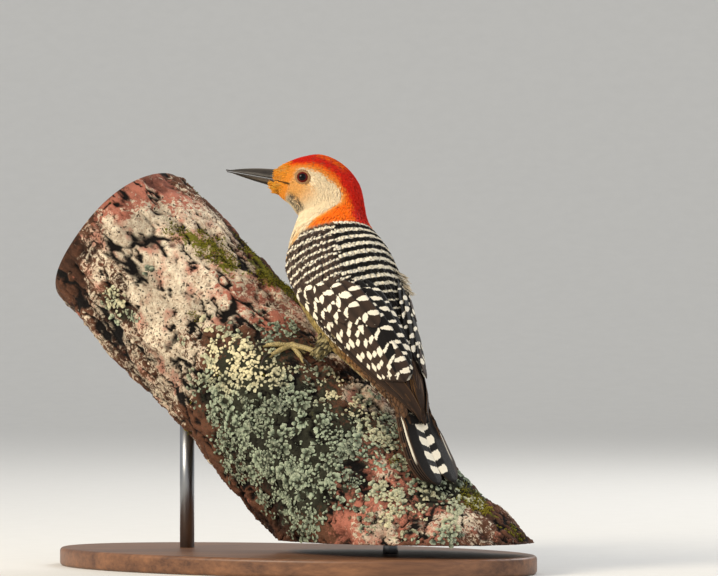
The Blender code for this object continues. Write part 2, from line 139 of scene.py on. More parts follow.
def lengths_along(path):
    """How far along its path every point lies."""
    steps = np.linalg.norm(np.diff(path, axis=-2), axis=-1)
    return np.concatenate([np.zeros((*steps.shape[:-1], 1)), np.cumsum(steps, axis=-1)], axis=-1)


# %% Pieces
KINDS = {"FLOAT": "value", "FLOAT_VECTOR": "vector", "FLOAT_COLOR": "color"}


def add_piece(name, points, faces, material, slot, replaced=(), colours=None, vectors=None, floats=None,
              bake=None):
    """Writes one mesh from points in millimetres, with its attributes, and makes it part of the model."""
    mesh = bpy.data.meshes.new(name)
    mesh.from_pydata((np.asarray(points) * MM).tolist(), [], faces)
    mesh.shade_smooth()
    mesh.materials.append(material)
    for kind, group in (("FLOAT_COLOR", colours), ("FLOAT_VECTOR", vectors), ("FLOAT", floats)):
        for key, values in (group or {}).items():
            values = np.asarray(values, float).reshape(len(points), -1)
            if kind == "FLOAT_COLOR":
                values = np.hstack([values, np.ones((len(points), 1))])
            data = mesh.attributes.new(key, kind, "POINT").data
            data.foreach_set(KINDS[kind], values.ravel())
    if bake is not None:
        corners = np.empty(len(mesh.loops), int)
        mesh.loops.foreach_get("vertex_index", corners)
        mesh.uv_layers.new(name="OFBake").data.foreach_set("uv", np.asarray(bake)[corners].ravel())
    piece = bpy.data.objects.new(name, mesh)
    bpy.context.scene.collection.objects.link(piece)
    return adopt(piece, replaced)


def adopt(piece, replaced=()):
    """Makes an object ride on the model and hides the frame's nodes that it stands for."""
    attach(piece, "root")
    if replaced:
        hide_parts(*replaced)
    print(f"{piece.name}: {len(piece.data.polygons)} faces")
    return piece


def select_only(*pieces):
    bpy.ops.object.select_all(action="DESELECT")
    for piece in pieces:
        piece.select_set(True)
    bpy.context.view_layer.objects.active = pieces[0]


def apply_modifier(piece, kind, **settings):
    select_only(piece)
    modifier = piece.modifiers.new(kind, kind)
    for key, value in settings.items():
        setattr(modifier, key, value)
    bpy.ops.object.modifier_apply(modifier=modifier.name)


# %% [markdown]
# ## The studio
#
# A museum shows a specimen on a pale sweep of paper: the floor runs back and curves up, so that no edge
# shows behind the bird. A wide soft lamp stands high on the left, where the sun would be, a weaker one
# fills from the right, and a third from behind lifts the dark back off the paper. The camera stands level
# with the bird, far off, with a long lens, because a bird in the field is seen from far away.

# %% Studio and camera
FRONT = np.array([0, -1.0, 0])  # the way to the viewer
AIM = np.array([35.1, -30.0, 153.5])  # what the camera looks at
CAMERA_DISTANCE = 3000.0
VIEW_WIDTH = 388.1  # at the distance of the bird
SENSOR = 36.0


def add_sweep():
    """The floor: a plane that is extruded up at its far edge in small turns."""
    bpy.ops.object.select_all(action="DESELECT")
    bpy.ops.mesh.primitive_plane_add(size=8.0, location=(0, -1.0, 0))
    sweep = bpy.context.object
    sweep.name = "studio_sweep"
    bpy.ops.object.mode_set(mode="EDIT")
    bpy.ops.mesh.select_mode(type="EDGE")
    bpy.ops.mesh.select_all(action="DESELECT")
    bpy.ops.object.mode_set(mode="OBJECT")
    for edge in sweep.data.edges:
        edge.select = all(sweep.data.vertices[v].co.y > 3.9 for v in edge.vertices)
    bpy.ops.object.mode_set(mode="EDIT")
    steps, pace = 12, 0.28
    for i in range(steps):
        turn = math.radians(90 * (i + 1) / steps)
        move = (0, pace * math.cos(turn), pace * math.sin(turn))
        bpy.ops.mesh.extrude_region_move(TRANSFORM_OT_translate={"value": move})
    bpy.ops.mesh.extrude_region_move(TRANSFORM_OT_translate={"value": (0, 0, 4.0)})
    bpy.ops.mesh.select_all(action="SELECT")
    bpy.ops.mesh.normals_make_consistent(inside=False)
    bpy.ops.object.mode_set(mode="OBJECT")
    sweep.data.shade_smooth()
    paper, tree, shader = start_material("matt_paper", Roughness=0.9)
    where = add_node(tree, "TexCoord").outputs["Object"]
    fibre = add_node(tree, "TexNoise", where, Scale=60.0, Detail=4.0)
    tone = add_node(tree, "Mix", fibre, data_type="RGBA", _6=rgba("#DCDAD5"), _7=rgba("#E2E0DB"))
    feed(tree, shader, Base_Color=tone)
    sweep.data.materials.append(paper)


def add_lamp(name, away, size, power, colour):
    """A square soft box at a place in metres from the bird, turned to face it."""
    light = bpy.data.lights.new(name, "AREA")
    light.size = size
    light.energy = power
    light.color = linear(colour)
    lamp = bpy.data.objects.new(name, light)
    bpy.context.scene.collection.objects.link(lamp)
    aim = AIM * MM
    place = aim + np.array(away)
    lamp.location = place
    lamp.rotation_euler = Vector(aim - place).to_track_quat("-Z", "Y").to_euler()


def add_camera():
    data = bpy.data.cameras.new("camera")
    data.sensor_width = SENSOR
    data.lens = SENSOR * CAMERA_DISTANCE / VIEW_WIDTH
    data.clip_end = 50.0
    camera = bpy.data.objects.new("camera", data)
    bpy.context.scene.collection.objects.link(camera)
    camera.location = (AIM + FRONT * CAMERA_DISTANCE) * MM
    camera.rotation_euler = (math.radians(90), 0, 0)
    bpy.context.scene.camera = camera


# %% Set up the studio
add_sweep()
add_camera()
add_lamp("key_soft_box", (-1.15, -0.85, 0.75), 0.6, 24.0, "#FFF2DC")
add_lamp("fill_soft_box", (1.3, -1.6, 0.6), 1.6, 6.0, "#EEF3FF")
add_lamp("back_soft_box", (0.9, 1.2, 1.1), 0.9, 14.0, "#FFFFFF")
world = bpy.data.worlds.new("studio_air")
world.use_nodes = True
feed(world.node_tree, world.node_tree.nodes["Background"], Color=rgba("#F1F3F6"), Strength=0.72)
bpy.context.scene.world = world
bpy.context.scene.view_settings.view_transform = "Standard"


# %% [markdown]
# ## The line of the body
#
# Every cross-section of a bird stands on a line from its bill to its tail. A place on the plumage is then
# two numbers: how far along that line it lies, counted in sections, and how many degrees round the body,
# from the middle of the back over the bird's left side. Feathers grow along the first and side by side
# along the second, and markings are bands in one or the other. The table is the frame's own: the centre
# of each section, how far the plumage reaches above, below and to the side, and where the back faces.

# %% Sections and the plumage surface
BODY_SECTIONS = np.array([
    (-10.3, -9.0, 213.2, 5.1, 5.3, 5.1, 0.03, 0.00, 1.00),  # 0 base of the bill
    (-5.8, -9.4, 213.4, 9.0, 9.8, 8.6, 0.26, 0.00, 0.96),  # 1 lores
    (-0.3, -9.8, 213.4, 12.6, 13.2, 11.4, 0.40, 0.00, 0.92),  # 2 forehead
    (6.2, -10.4, 212.4, 16.2, 16.0, 13.4, 0.55, -0.03, 0.84),  # 3 eyes and crown
    (12.9, -11.2, 208.4, 18.3, 18.0, 14.6, 0.74, -0.09, 0.67),  # 4 back of the crown
    (18.1, -12.0, 202.0, 19.0, 18.8, 15.4, 0.89, -0.19, 0.44),  # 5 back of the head
    (20.3, -13.4, 194.6, 18.4, 18.4, 16.4, 0.93, -0.33, 0.18),  # 6 neck
    (20.6, -16.0, 186.8, 20.0, 21.4, 19.8, 0.84, -0.48, 0.26),  # 7 base of the neck
    (21.6, -20.2, 176.8, 23.2, 26.0, 24.8, 0.70, -0.57, 0.43),  # 8 shoulders
    (25.6, -25.6, 165.0, 26.2, 29.6, 27.0, 0.62, -0.59, 0.52),  # 9 breast
    (30.6, -31.0, 151.6, 26.4, 28.0, 26.4, 0.60, -0.59, 0.54),  # 10 middle of the back
    (37.6, -37.4, 136.0, 24.6, 24.6, 24.0, 0.60, -0.59, 0.54),  # 11 belly
    (46.2, -43.8, 121.2, 19.8, 19.0, 19.2, 0.59, -0.61, 0.53),  # 12 flanks
    (54.2, -49.8, 107.2, 14.4, 13.2, 14.8, 0.58, -0.63, 0.52),  # 13 rump
    (61.0, -54.8, 94.8, 9.2, 8.0, 11.6, 0.57, -0.65, 0.51),  # 14 root of the tail
    (67.8, -60.6, 80.0, 3.6, 3.4, 10.4, 0.56, -0.66, 0.50),  # 15 end of the coverts
    (75.2, -68.4, 61.2, 2.4, 2.0, 10.0, 0.56, -0.66, 0.50),  # 16 middle of the bare tail
    (83.4, -75.6, 45.4, 2.0, 1.0, 6.0, 0.56, -0.66, 0.50),  # 17 tip of the tail
])


def body_frame(section):
    """Centre, direction to the tail, direction of the back and of the bird's left, at each section."""
    row = smooth_between(BODY_SECTIONS, section)
    section = np.asarray(section, float)
    centres = BODY_SECTIONS[:, :3]
    tailward = unit(smooth_between(centres, section + 0.05) - smooth_between(centres, section - 0.05))
    back = unit(row[..., 6:9])
    left = unit(np.cross(tailward, back))
    return row, tailward, back, left


def body_point(section, degrees, out=0.0):
    """Places on the plumage, or `out` millimetres over it."""
    row, _, back, left = body_frame(section)
    angle = np.radians(degrees)
    height = np.where(np.cos(angle) > 0, row[..., 3], row[..., 4]) + out
    up = back * (height * np.cos(angle))[..., None]
    return row[..., :3] + up + left * ((row[..., 5] + out) * np.sin(angle))[..., None]


def surface_frame(chart, first, second, out=0.0):
    """On any surface given by two numbers: steps along each of them, and the way out."""
    by_first = (chart(first + 0.02, second, out) - chart(first - 0.02, second, out)) / 0.04
    by_second = chart(first, second + 0.5, out) - chart(first, second - 0.5, out)
    return by_first, by_second, unit(np.cross(by_second, by_first))


BACK_SECTIONS = np.linspace(0, 17, 171)
BACK_LINE = body_point(BACK_SECTIONS, np.zeros(171))
BACK_LENGTHS = lengths_along(BACK_LINE)
print("along the back from bill to tail:", round(BACK_LENGTHS[-1]), "mm")
check = surface_frame(body_point, np.array([9.0]), np.array([90.0]))[2]
print("out of the left side:", np.round(check, 2))


# %% Where the folded wings lie over the body
WING_EDGES = (
    # section, upper edge, lower edge, thickness, where across it is thickest, gap under it
    (7.95, 74.0, 98.0, 2.0, 0.60, 0.5),
    (8.25, 54.0, 116.0, 4.2, 0.74, 0.5),
    (8.7, 44.0, 122.0, 5.2, 0.78, 0.5),
    (9.5, 36.0, 121.0, 4.8, 0.72, 0.5),
    (10.4, 27.0, 111.0, 4.0, 0.62, 0.5),
    (11.3, 17.0, 103.0, 3.6, 0.52, 0.5),
    (12.2, 9.0, 96.0, 3.4, 0.50, 0.5),
    (13.0, 4.0, 84.0, 3.0, 0.50, 0.5),
    (13.7, 3.0, 70.0, 2.4, 0.50, 0.7),
    (14.3, 3.0, 48.0, 1.8, 0.50, 1.4),
    (14.8, 5.0, 20.0, 1.2, 0.50, 2.6),
)


def wing_share(section, degrees):
    """0 at the wing's upper edge and 1 at its lower edge."""
    side = np.abs((degrees + 180) % 360 - 180)
    upper, lower = column(WING_EDGES, 1, section), column(WING_EDGES, 2, section)
    return (side - upper) / (lower - upper)


def wing_rise(section, share):
    """How high the folded wing stands over the body."""
    thickness, thickest, gap = (column(WING_EDGES, k, section) for k in (3, 4, 5))
    inside = np.clip(share, 0.0, 1.0)
    rise = thickness * np.abs(np.sin(math.pi * inside ** (math.log(0.5) / np.log(thickest)))) ** 0.6
    edge = ease(-0.10, 0.06, share) * ease(1.10, 0.94, share) * ease(7.7, 8.1, section)
    return (gap + rise) * edge


def covert_line(share):
    """The section at which the small feathers on a folded wing end and the long ones show."""
    return 11.05 - 1.5 * np.clip(share, 0, 1)


# %% [markdown]
# ## Skin
#
# Under the feathers a bird has one skin, with no seams where its neck, wings or thighs begin. It follows the
# line of the body, drawn in by the depth of the coat, and swells where a folded wing lies on it. The thighs
# are copies of the frame's, drawn in too. All are joined and remeshed, which fuses them into one closed
# surface, and a little smoothing takes away the steps that a remesh leaves.

# %% One skin
COAT_DEPTH, THIGH_COAT_DEPTH = 1.7, 0.8
SKIN_GRAIN = 1.1  # size of the remeshed faces
SKIN_RINGS, SKIN_SIDES = 150, 96
SKIN_ENDS = (0.0, 15.0)
FLESH = ("head", "neck", "trunk", "thigh_left", "thigh_right")


def skin_point(section, degrees):
    over_wing = wing_rise(section, wing_share(section, degrees)) * ease(13.6, 12.6, section)
    return body_point(section, degrees, over_wing - COAT_DEPTH)


def tube_faces(rings, sides):
    """Faces of a tube with both ends closed, whose rings run the way that faces it outwards."""
    faces = []
    for i in range(rings - 1):
        for k in range(sides):
            n = (k + 1) % sides
            faces.append((i * sides + k, i * sides + n, (i + 1) * sides + n, (i + 1) * sides + k))
    faces.append(tuple(range(sides))[::-1])
    faces.append(tuple(range((rings - 1) * sides, rings * sides)))
    return faces


def loose_object(name, points, faces):
    mesh = bpy.data.meshes.new(name)
    mesh.from_pydata((np.asarray(points) * MM).tolist(), [], faces)
    made = bpy.data.objects.new(name, mesh)
    bpy.context.scene.collection.objects.link(made)
    return made


def read_mesh(piece):
    """Takes an object's points, in millimetres, and faces, and removes the object."""
    points = np.empty(len(piece.data.vertices) * 3)
    piece.data.vertices.foreach_get("co", points)
    faces = [tuple(face.vertices) for face in piece.data.polygons]
    bpy.data.objects.remove(piece)
    return points.reshape(-1, 3) / MM, faces


def clean_up(piece):
    """Merges what coincides and turns every face outwards."""
    select_only(piece)
    bpy.ops.object.mode_set(mode="EDIT")
    bpy.ops.mesh.select_all(action="SELECT")
    bpy.ops.mesh.remove_doubles(threshold=1e-6)
    bpy.ops.mesh.normals_make_consistent(inside=False)
    bpy.ops.object.mode_set(mode="OBJECT")


def fused_skin():
    degrees = np.arange(SKIN_SIDES) * 360 / SKIN_SIDES
    grid = np.meshgrid(np.linspace(*SKIN_ENDS, SKIN_RINGS), degrees, indexing="ij")
    body = loose_object("skin", skin_point(*grid).reshape(-1, 3), tube_faces(SKIN_RINGS, SKIN_SIDES))
    clean_up(body)
    thighs = []
    for node in FLESH[3:]:
        thigh = bpy.data.objects.new(node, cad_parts[node].data.copy())
        bpy.context.scene.collection.objects.link(thigh)
        clean_up(thigh)
        apply_modifier(thigh, "DISPLACE", strength=-THIGH_COAT_DEPTH * MM, mid_level=0.0)
        thighs.append(thigh)
    select_only(body, *thighs)
    bpy.ops.object.join()
    apply_modifier(body, "REMESH", mode="VOXEL", voxel_size=SKIN_GRAIN * MM)
    apply_modifier(body, "SMOOTH", factor=0.6, iterations=5)
    return read_mesh(body)


SKIN_POINTS, SKIN_FACES = fused_skin()
print("skin:", len(SKIN_POINTS), "points")


# %% Where each place of the skin lies on the body
CHART_SECTIONS, CHART_DEGREES = np.meshgrid(np.linspace(0, 16, 161), np.arange(-180, 180, 5.0), indexing="ij")


def body_places(points):
    """The nearest section number and degrees round the body for each point."""
    chart = skin_point(CHART_SECTIONS, CHART_DEGREES).reshape(-1, 3)
    tree = kdtree.KDTree(len(chart))
    for i, place in enumerate(chart):
        tree.insert(place, i)
    tree.balance()
    found = np.array([tree.find(point)[1] for point in points])
    return CHART_SECTIONS.ravel()[found], CHART_DEGREES.ravel()[found]


# %% [markdown]
# ## Markings
#
# Skin and feathers carry the same markings, so one function gives them for any place on the body. Red runs
# from the forehead over the crown to the foot of the nape, and turns orange towards the cheek. Cheek, throat
# and underparts are cream to buff, the back is barred black and white, and the rump is nearly white. A bar
# isn't painted point by point: the function gives how many bars have passed and which share of each is pale,
# and the material draws the edge between them, which keeps it sharp.

# %% Colours of the plumage by place
RED, ORANGE, GOLD, LORE = linear("#E5230A"), linear("#FF7A0A"), linear("#F1AC4C"), linear("#F39A20")
CREAM, BUFF, SMOKE = linear("#F1DCB6"), linear("#C9B993"), linear("#5D5145")
BLACK, WHITE, SOOT = linear("#120E0B"), linear("#F6EBD3"), linear("#54443A")
OLIVE, BELLY, RUSSET = linear("#A58A3E"), linear("#C4694A"), linear("#8C5C34")
UNDERPARTS = (
    # colour and strength; start, full, fading and end by section, and by degrees down the side
    (OLIVE, 0.75, (9.0, 10.0, 11.8, 13.2), (-2, -1, 138, 155)),
    (BELLY, 0.80, (10.2, 11.0, 12.2, 13.0), (150, 165, 181, 182)),
    (GOLD, 0.60, (7.4, 7.9, 8.4, 8.9), (95, 104, 112, 122)),
    (RUSSET, 0.85, (11.0, 12.0, 19, 20), (92, 100, 128, 140)),
)
# section, degrees down the side
CAP_EDGE = ((0, 62), (1, 62), (2, 64), (2.9, 68), (3.6, 66), (4.4, 62), (5.1, 54), (5.65, 55), (6.25, 62),
            (6.85, 70), (7.35, 82), (8, 90))
RED_EDGE = ((0, 0), (0.9, 6), (1.3, 36), (2.4, 50), (3.3, 46), (4.4, 44), (5.1, 46), (5.7, 36), (6.2, 28),
            (7, 22), (7.8, 10))
BACK_EDGE = ((7.8, 96), (8.2, 106), (8.6, 116), (9.4, 118), (10.2, 108), (11.3, 100), (16, 98))
NAPE_END = 7.8
BAR_PERIOD, SCALLOP_PERIOD, RUMP_PERIOD = 4.9, 3.7, 6.5
SCALLOP_FROM = 47.0  # degrees down the side where the back's bars break into scallops


def back_length(section):
    return np.interp(section, BACK_SECTIONS, BACK_LENGTHS)


def markings(section, degrees, chance):
    """Ground colour, mark colour, bars passed and pale share. chance is a number from 0 to 1 for each.

    Limits on section are section numbers, and limits on side are degrees down from the middle of the back.
    """
    side = np.abs((degrees + 180) % 360 - 180)
    uneven = chance - 0.5
    dull = 0.12 * uneven
    under = blend(CREAM, BUFF, ease(7.4, 9.5, section))
    for colour, strength, by_section, by_side in UNDERPARTS:
        under = blend(under, colour, strength * band(section, *by_section) * band(side, *by_side))
    under = blend(under, LORE, 0.95 * ease(2.45, 1.95, section + 0.3 * uneven))
    malar = ease(88, 100, side + 12 * uneven) * ease(150, 128, side) * band(section, 1.9, 2.3, 3.0, 5.2)
    under = blend(under, GOLD, 0.85 * malar)
    streak = band(side, 124, 134, 156, 166) * band(section, 2.0, 2.8, 5.0, 6.0) * (chance > 0.3)
    under = blend(under, SMOKE, 0.9 * streak)
    cap_edge = column(CAP_EDGE, 1, section) + 5 * uneven
    red_edge = column(RED_EDGE, 1, section) + 8 * uneven
    orange = blend(blend(ORANGE, RED, 0.10 + dull), GOLD, 0.75 * ease(cap_edge - 16, cap_edge, side))
    cap = blend(orange, RED * (0.9 + dull[..., None]), ease(red_edge + 10, red_edge - 4, side))
    cap = blend(cap, ORANGE, 0.8 * band(section, 2.6, 3.1, 4.0, 4.5) * ease(36, 20, side) * (chance > 0.35))
    cap = blend(cap, SMOKE, 0.5 * band(section, 2.3, 2.8, 4.0, 4.6) * (chance < 0.12))
    cap = blend(cap, GOLD, 0.6 * ease(0.9, 0.3, section))
    in_cap = ease(cap_edge + 2, cap_edge - 2, side) * ease(NAPE_END + 0.06, NAPE_END - 0.06, section)
    ground = blend(under, cap, in_cap)
    gape = ease(3.4, 1.6, np.abs(side - 102 - 3.3 * section)) * ease(2.2, 1.9, section)
    ground = blend(ground, BLACK, 0.9 * gape)
    back_edge = column(BACK_EDGE, 1, section) + 4 * uneven
    is_back = ease(back_edge + 3, back_edge - 3, side) * ease(NAPE_END - 0.05, NAPE_END + 0.05, section)
    dark = blend(BLACK, SOOT, 0.85 * ease(38, 62, side) * ease(12, 10, section))
    ground = blend(ground, dark, is_back)
    mark = blend(WHITE, BUFF, 0.35 * ease(10.0, 11.5, section))
    scallops = side > SCALLOP_FROM + 10 * uneven
    rump = section > 12.4
    under_tail = (section > 12.8) & (side > 125)
    period = np.where(rump, RUMP_PERIOD, np.where(scallops, SCALLOP_PERIOD, BAR_PERIOD))
    bars = back_length(section) / period + np.where(rump, 0.35, np.where(scallops, 0.28, 0.12)) * uneven
    pale = np.where(scallops, 0.38, 0.50 - 0.25 * ease(10.3, 11.2, section))
    rump_pale = 0.72 * ease(62, 48, side) * (0.15 + 0.85 * ease(14.0, 13.5, section))
    pale = np.where(rump, rump_pale, pale) * is_back
    pale = np.where(under_tail, 0.62, pale)
    ground = blend(ground, BLACK, under_tail * 1.0)
    flank = band(section, 12.0, 12.8, 19, 20) * band(side, 50, 60, 118, 128)
    ground = blend(ground, blend(SMOKE * 0.6, RUSSET * 0.7, 0.5), 0.85 * flank)
    return ground, mark, bars, pale


# %% [markdown]
# ## Plumage
#
# A feather is keratin: a shaft, and hundreds of barbs that leave it at a slant and lie side by side. Red
# and orange come from pigment in the barbs, black and brown from another, and white has none. To the eye
# the barbs are a fine slanted grain that scatters light, so feathers look soft and show no clear highlight.
# The grain would be too fine to show at 0.25 mm, so it is drawn 0.7 mm apart. The material reads how far a
# place lies from the shaft and from the root, which every feather carries, and draws bars from the numbers
# that the markings gave.

# %% Plumage material
BARB_PITCH = 0.7


def plumage(name, roughness, bar_softness, grain):
    made, tree, shader = start_material(name, Roughness=roughness, Sheen_Weight=0.06, Sheen_Roughness=0.5,
                                        Specular_IOR_Level=0.12)
    ground, mark, bars, vane = (add_node(tree, "Attribute", attribute_name=key)
                                for key in ("ground", "mark", "bars", "vane"))
    bar = add_node(tree, "SeparateXYZ", bars.outputs["Vector"])
    place = add_node(tree, "SeparateXYZ", vane.outputs["Vector"])
    where = add_node(tree, "TexCoord").outputs["Object"]
    fray = add_node(tree, "TexNoise", where, Scale=1200.0, Detail=2.0)
    shift = add_node(tree, "Math", fray, 0.22, bar.outputs["X"], operation="MULTIPLY_ADD")
    wave = add_node(tree, "Math", shift, 0.5, operation="PINGPONG")
    wide = add_node(tree, "Math", bar.outputs["Y"], 0.5, operation="MULTIPLY")
    low = add_node(tree, "Math", wide, bar_softness, operation="SUBTRACT")
    pale = add_node(tree, "MapRange", wave, low, wide, 1.0, 0.0)
    colour = add_node(tree, "Mix", pale, data_type="RGBA", _6=ground, _7=mark)
    across = add_node(tree, "Math", place.outputs["X"], operation="ABSOLUTE")
    slant = add_node(tree, "Math", across, -1.1, place.outputs["Y"], operation="MULTIPLY_ADD")
    count = add_node(tree, "Math", slant, 2 * math.pi / BARB_PITCH, operation="MULTIPLY")
    ridge = add_node(tree, "Math", count, operation="SINE")
    relief = add_node(tree, "Math", fray, 2.0, ridge, operation="MULTIPLY_ADD")
    shade = add_node(tree, "MapRange", relief, -0.5, 2.5, 1.0 - grain, 1.0 + 0.6 * grain)
    final = add_node(tree, "VectorMath", colour, operation="SCALE", Scale=shade)
    bump = add_node(tree, "Bump", Height=relief, Strength=0.35, Distance=0.0001)
    feed(tree, shader, Base_Color=final, Normal=bump)
    return made


COVERT_KERATIN = plumage("feather_keratin_soft", roughness=0.78, bar_softness=0.07, grain=0.22)


# %% [markdown]
# ## One vane, laid thousands of times
#
# The small feathers that cover the body are all alike: a thin leaf on a curved path, widest past its middle,
# rounded at its tip and cupped over the feather beneath. One function makes a closed leaf on every path that
# it is given, all in one mesh. Each leaf ring has its edges, its raised middle and one underside, so a leaf
# is 36 triangles. Rooted in the skin and lifting towards the tip, the leaves overlap like shingles. The coat
# is cut into six pieces along the body, so that none grows too large.

# %% Closed leaves along paths
BAKE_PATCH = 0.003  # side of one leaf's patch, where the whole map is 1


def ring_of(columns):
    """How far across each point of a leaf's ring lies, and whether it is on the top, the edge or below."""
    columns = np.asarray(columns, float)
    across = np.concatenate([columns, columns[-2:0:-1]])
    level = np.concatenate([[0], np.ones(len(columns) - 2), [0], -np.ones(len(columns) - 2)])
    return across, level


def leaves(paths, outward, half_widths, columns, thickness, cup, skew=0.0):
    """Points, shaped (leaf, station, ring, 3), of one closed leaf for each path, and their faces."""
    along = unit(np.gradient(paths, axis=1))
    across = unit(np.cross(along, outward))
    outward = np.cross(across, along)
    share, level = ring_of(columns)
    reach = half_widths[..., None] * share * (1 + skew * np.sign(share))
    lift = thickness * level * (1 - 0.6 * share**2) - cup * reach**2
    points = paths[:, :, None] + across[:, :, None] * reach[..., None] + outward[:, :, None] * lift[..., None]
    count, stations, ring = points.shape[:3]
    starts = (np.arange(count)[:, None, None] * stations + np.arange(stations - 1)[None, :, None]) * ring
    here = np.arange(ring)
    there = (here + 1) % ring
    sides = np.stack([starts + here, starts + ring + here, starts + ring + there, starts + there], axis=-1)
    roots = np.arange(count)[:, None] * stations * ring + here
    tips = roots[:, ::-1] + (stations - 1) * ring
    faces = sides.reshape(-1, 4).tolist() + roots.tolist() + tips.tolist()
    return points, faces


def bake_map(first, second, shape, columns):
    """Each leaf as its own small patch, at the place of its root on the unwrapped body."""
    share, _ = ring_of(columns)
    across = (share + 1) / 2 * BAKE_PATCH
    along = np.linspace(0, BAKE_PATCH, shape[1])
    u, v = (0.004 + 0.988 * (values - values.min()) / np.ptp(values) for values in (first, second))
    pair = np.broadcast_arrays(u[:, None, None] + across, v[:, None, None] + along[:, None])
    return np.stack(pair, axis=-1).reshape(-1, 2)


LEAF_COLUMNS = (-1.0, 0.0, 1.0)
LEAF_STATIONS = np.array([0.0, 0.3, 0.6, 0.85, 1.0])
LEAF_OUTLINE = np.array([0.45, 0.85, 1.0, 0.80, 0.22])
LEAF_THICKNESS = 0.16


# %% Contour feathers over the whole body
SPACINGS = ((0, 0.50), (2, 0.54), (4, 0.66), (6, 0.92), (7.6, 1.3), (9, 1.65), (12, 2.0), (15.4, 2.4))


def feather_roots(start, end, seed):
    """Staggered roots on rings round the body, each moved a little by chance."""
    rng = np.random.default_rng(seed)
    sections, degrees = [], []
    section, row = start, 0
    while section < end:
        spacing = float(column(SPACINGS, 1, section))
        ring = body_point(np.full(73, section), np.linspace(0, 360, 73))
        count = int(np.linalg.norm(np.diff(ring, axis=0), axis=1).sum() / spacing)
        sections.append(section + rng.uniform(-0.4, 0.4, count) * 0.06)
        shift = 0.5 * (row % 2) + rng.uniform(-0.35, 0.35, count)
        degrees.append((np.arange(count) + shift) * 360 / count - 180)
        pace = np.linalg.norm(surface_frame(body_point, np.array([section]), np.array([0.0]))[0])
        section += spacing / max(pace, 5.0)
        row += 1
    return np.concatenate(sections), np.concatenate(degrees)


# %% Places without small feathers
EYE_SECTION = 2.92
EYE_BARE = 2.95  # no small feather is rooted nearer to the middle of the eye


def is_bare(section, degrees):
    """Places with no small feathers: the bill, the eyes and what the long wing feathers cover."""
    share = wing_share(section, degrees)
    under_wing = (share > 0.0) & (share < 0.96) & (section > covert_line(share)) & (section < 14.4)
    under_wing |= (section > 12.0) & (share < 0.9)
    under_wing |= (section > 14.1) & (np.abs(degrees) < 100)
    near_eye = np.zeros(len(section), bool)
    for sign in (1, -1):
        eye = body_point(np.array(EYE_SECTION), np.array(89.0 * sign))
        for reach in (0.0, 0.16, 0.32):
            near_eye |= np.linalg.norm(body_point(section + reach, degrees) - eye, axis=-1) < EYE_BARE
    return under_wing | near_eye


# %% One piece of the coat
LENGTHS = ((0, 2.5), (2, 3.2), (4, 4.4), (6, 5.8), (7.6, 6.8), (9, 7.6), (12, 9.0), (14, 11.0), (15.4, 12.0))
WIDTHS = ((0, 0.30), (2, 0.31), (4, 0.40), (6, 0.60), (7.6, 1.15), (9, 1.5), (12, 1.9), (15.4, 2.3))
THICKNESSES = ((0, 0.09), (4, 0.10), (7, 0.14), (9, 0.16))
UNEVEN = ((0, 0.25), (5, 0.35), (8, 1.0))  # how much feathers differ in lift and tone from their neighbours


def add_coat(name, start, end, seed, slot):
    section, degrees = feather_roots(start, end, seed)
    keep = ~is_bare(section, degrees)
    section, degrees = section[keep], degrees[keep]
    rng = np.random.default_rng(seed + 1)
    chance = rng.uniform(0, 1, len(section))
    length = column(LENGTHS, 1, section) * rng.uniform(0.85, 1.15, len(section))
    by_section, by_degree, _ = surface_frame(body_point, section, degrees)
    pace = np.maximum(np.linalg.norm(by_section, axis=-1), 4.0)
    turn = np.tan(np.radians(rng.normal(0, 7, len(section))))
    steps = LEAF_STATIONS[None, :] * length[:, None]
    sections = section[:, None] + steps / pace[:, None]
    rounds = degrees[:, None] + steps * (turn / np.maximum(np.linalg.norm(by_degree, axis=-1), 0.05))[:, None]
    over_wing = wing_rise(sections, wing_share(sections, rounds)) * ease(12.2, 11.8, sections)
    uneven = column(UNEVEN, 1, section)[:, None]
    lift = uneven * rng.uniform(-0.15, 0.25, len(section))[:, None]
    out = -COAT_DEPTH + (COAT_DEPTH + lift) * LEAF_STATIONS**0.75 + over_wing
    paths = body_point(sections, rounds, out)
    outward = surface_frame(body_point, sections, rounds)[2]
    widths = column(WIDTHS, 1, section)[:, None] * LEAF_OUTLINE * rng.uniform(0.85, 1.15, (len(section), 1))
    thick = column(THICKNESSES, 1, section)[:, None, None]
    points, faces = leaves(paths, outward, widths, LEAF_COLUMNS, thick, 0.06)
    ground, mark, bars, pale = markings(sections, rounds, np.broadcast_to(chance[:, None], sections.shape))
    tone = 1 + 0.14 * uneven * rng.uniform(-1, 1, (len(section), 1))
    tone = tone * (1 - (0.12 + 0.33 * uneven) * ease(0.6, 0.0, LEAF_STATIONS))
    tone = tone[..., None]
    finish_leaves(name, points, faces, ground * tone, mark * (0.6 + 0.4 * tone), bars, pale, widths, steps,
                  LEAF_COLUMNS, bake_map(degrees, section, points.shape, LEAF_COLUMNS), COVERT_KERATIN, slot)


def finish_leaves(name, points, faces, ground, mark, bars, pale, widths, steps, columns, bake, material, slot,
                  replaced=()):
    """Gives every point of the leaves its colours, bars and place on its feather."""
    share, _ = ring_of(columns)
    shape = points.shape[:3]

    def spread(values, *size):
        """Gives every point of a ring what is known for its station."""
        values = values[:, :, None] if values.ndim == 2 + len(size) else values
        return np.broadcast_to(values, (*shape, *size))

    nothing = np.zeros(shape)
    add_piece(name, points.reshape(-1, 3), faces, material, slot, replaced,
              colours={"ground": spread(ground, 3), "mark": spread(mark, 3)},
              vectors={"bars": np.stack([spread(bars), spread(pale), nothing], axis=-1),
                       "vane": np.stack([widths[..., None] * share, spread(steps), nothing], axis=-1)},
              bake=bake)


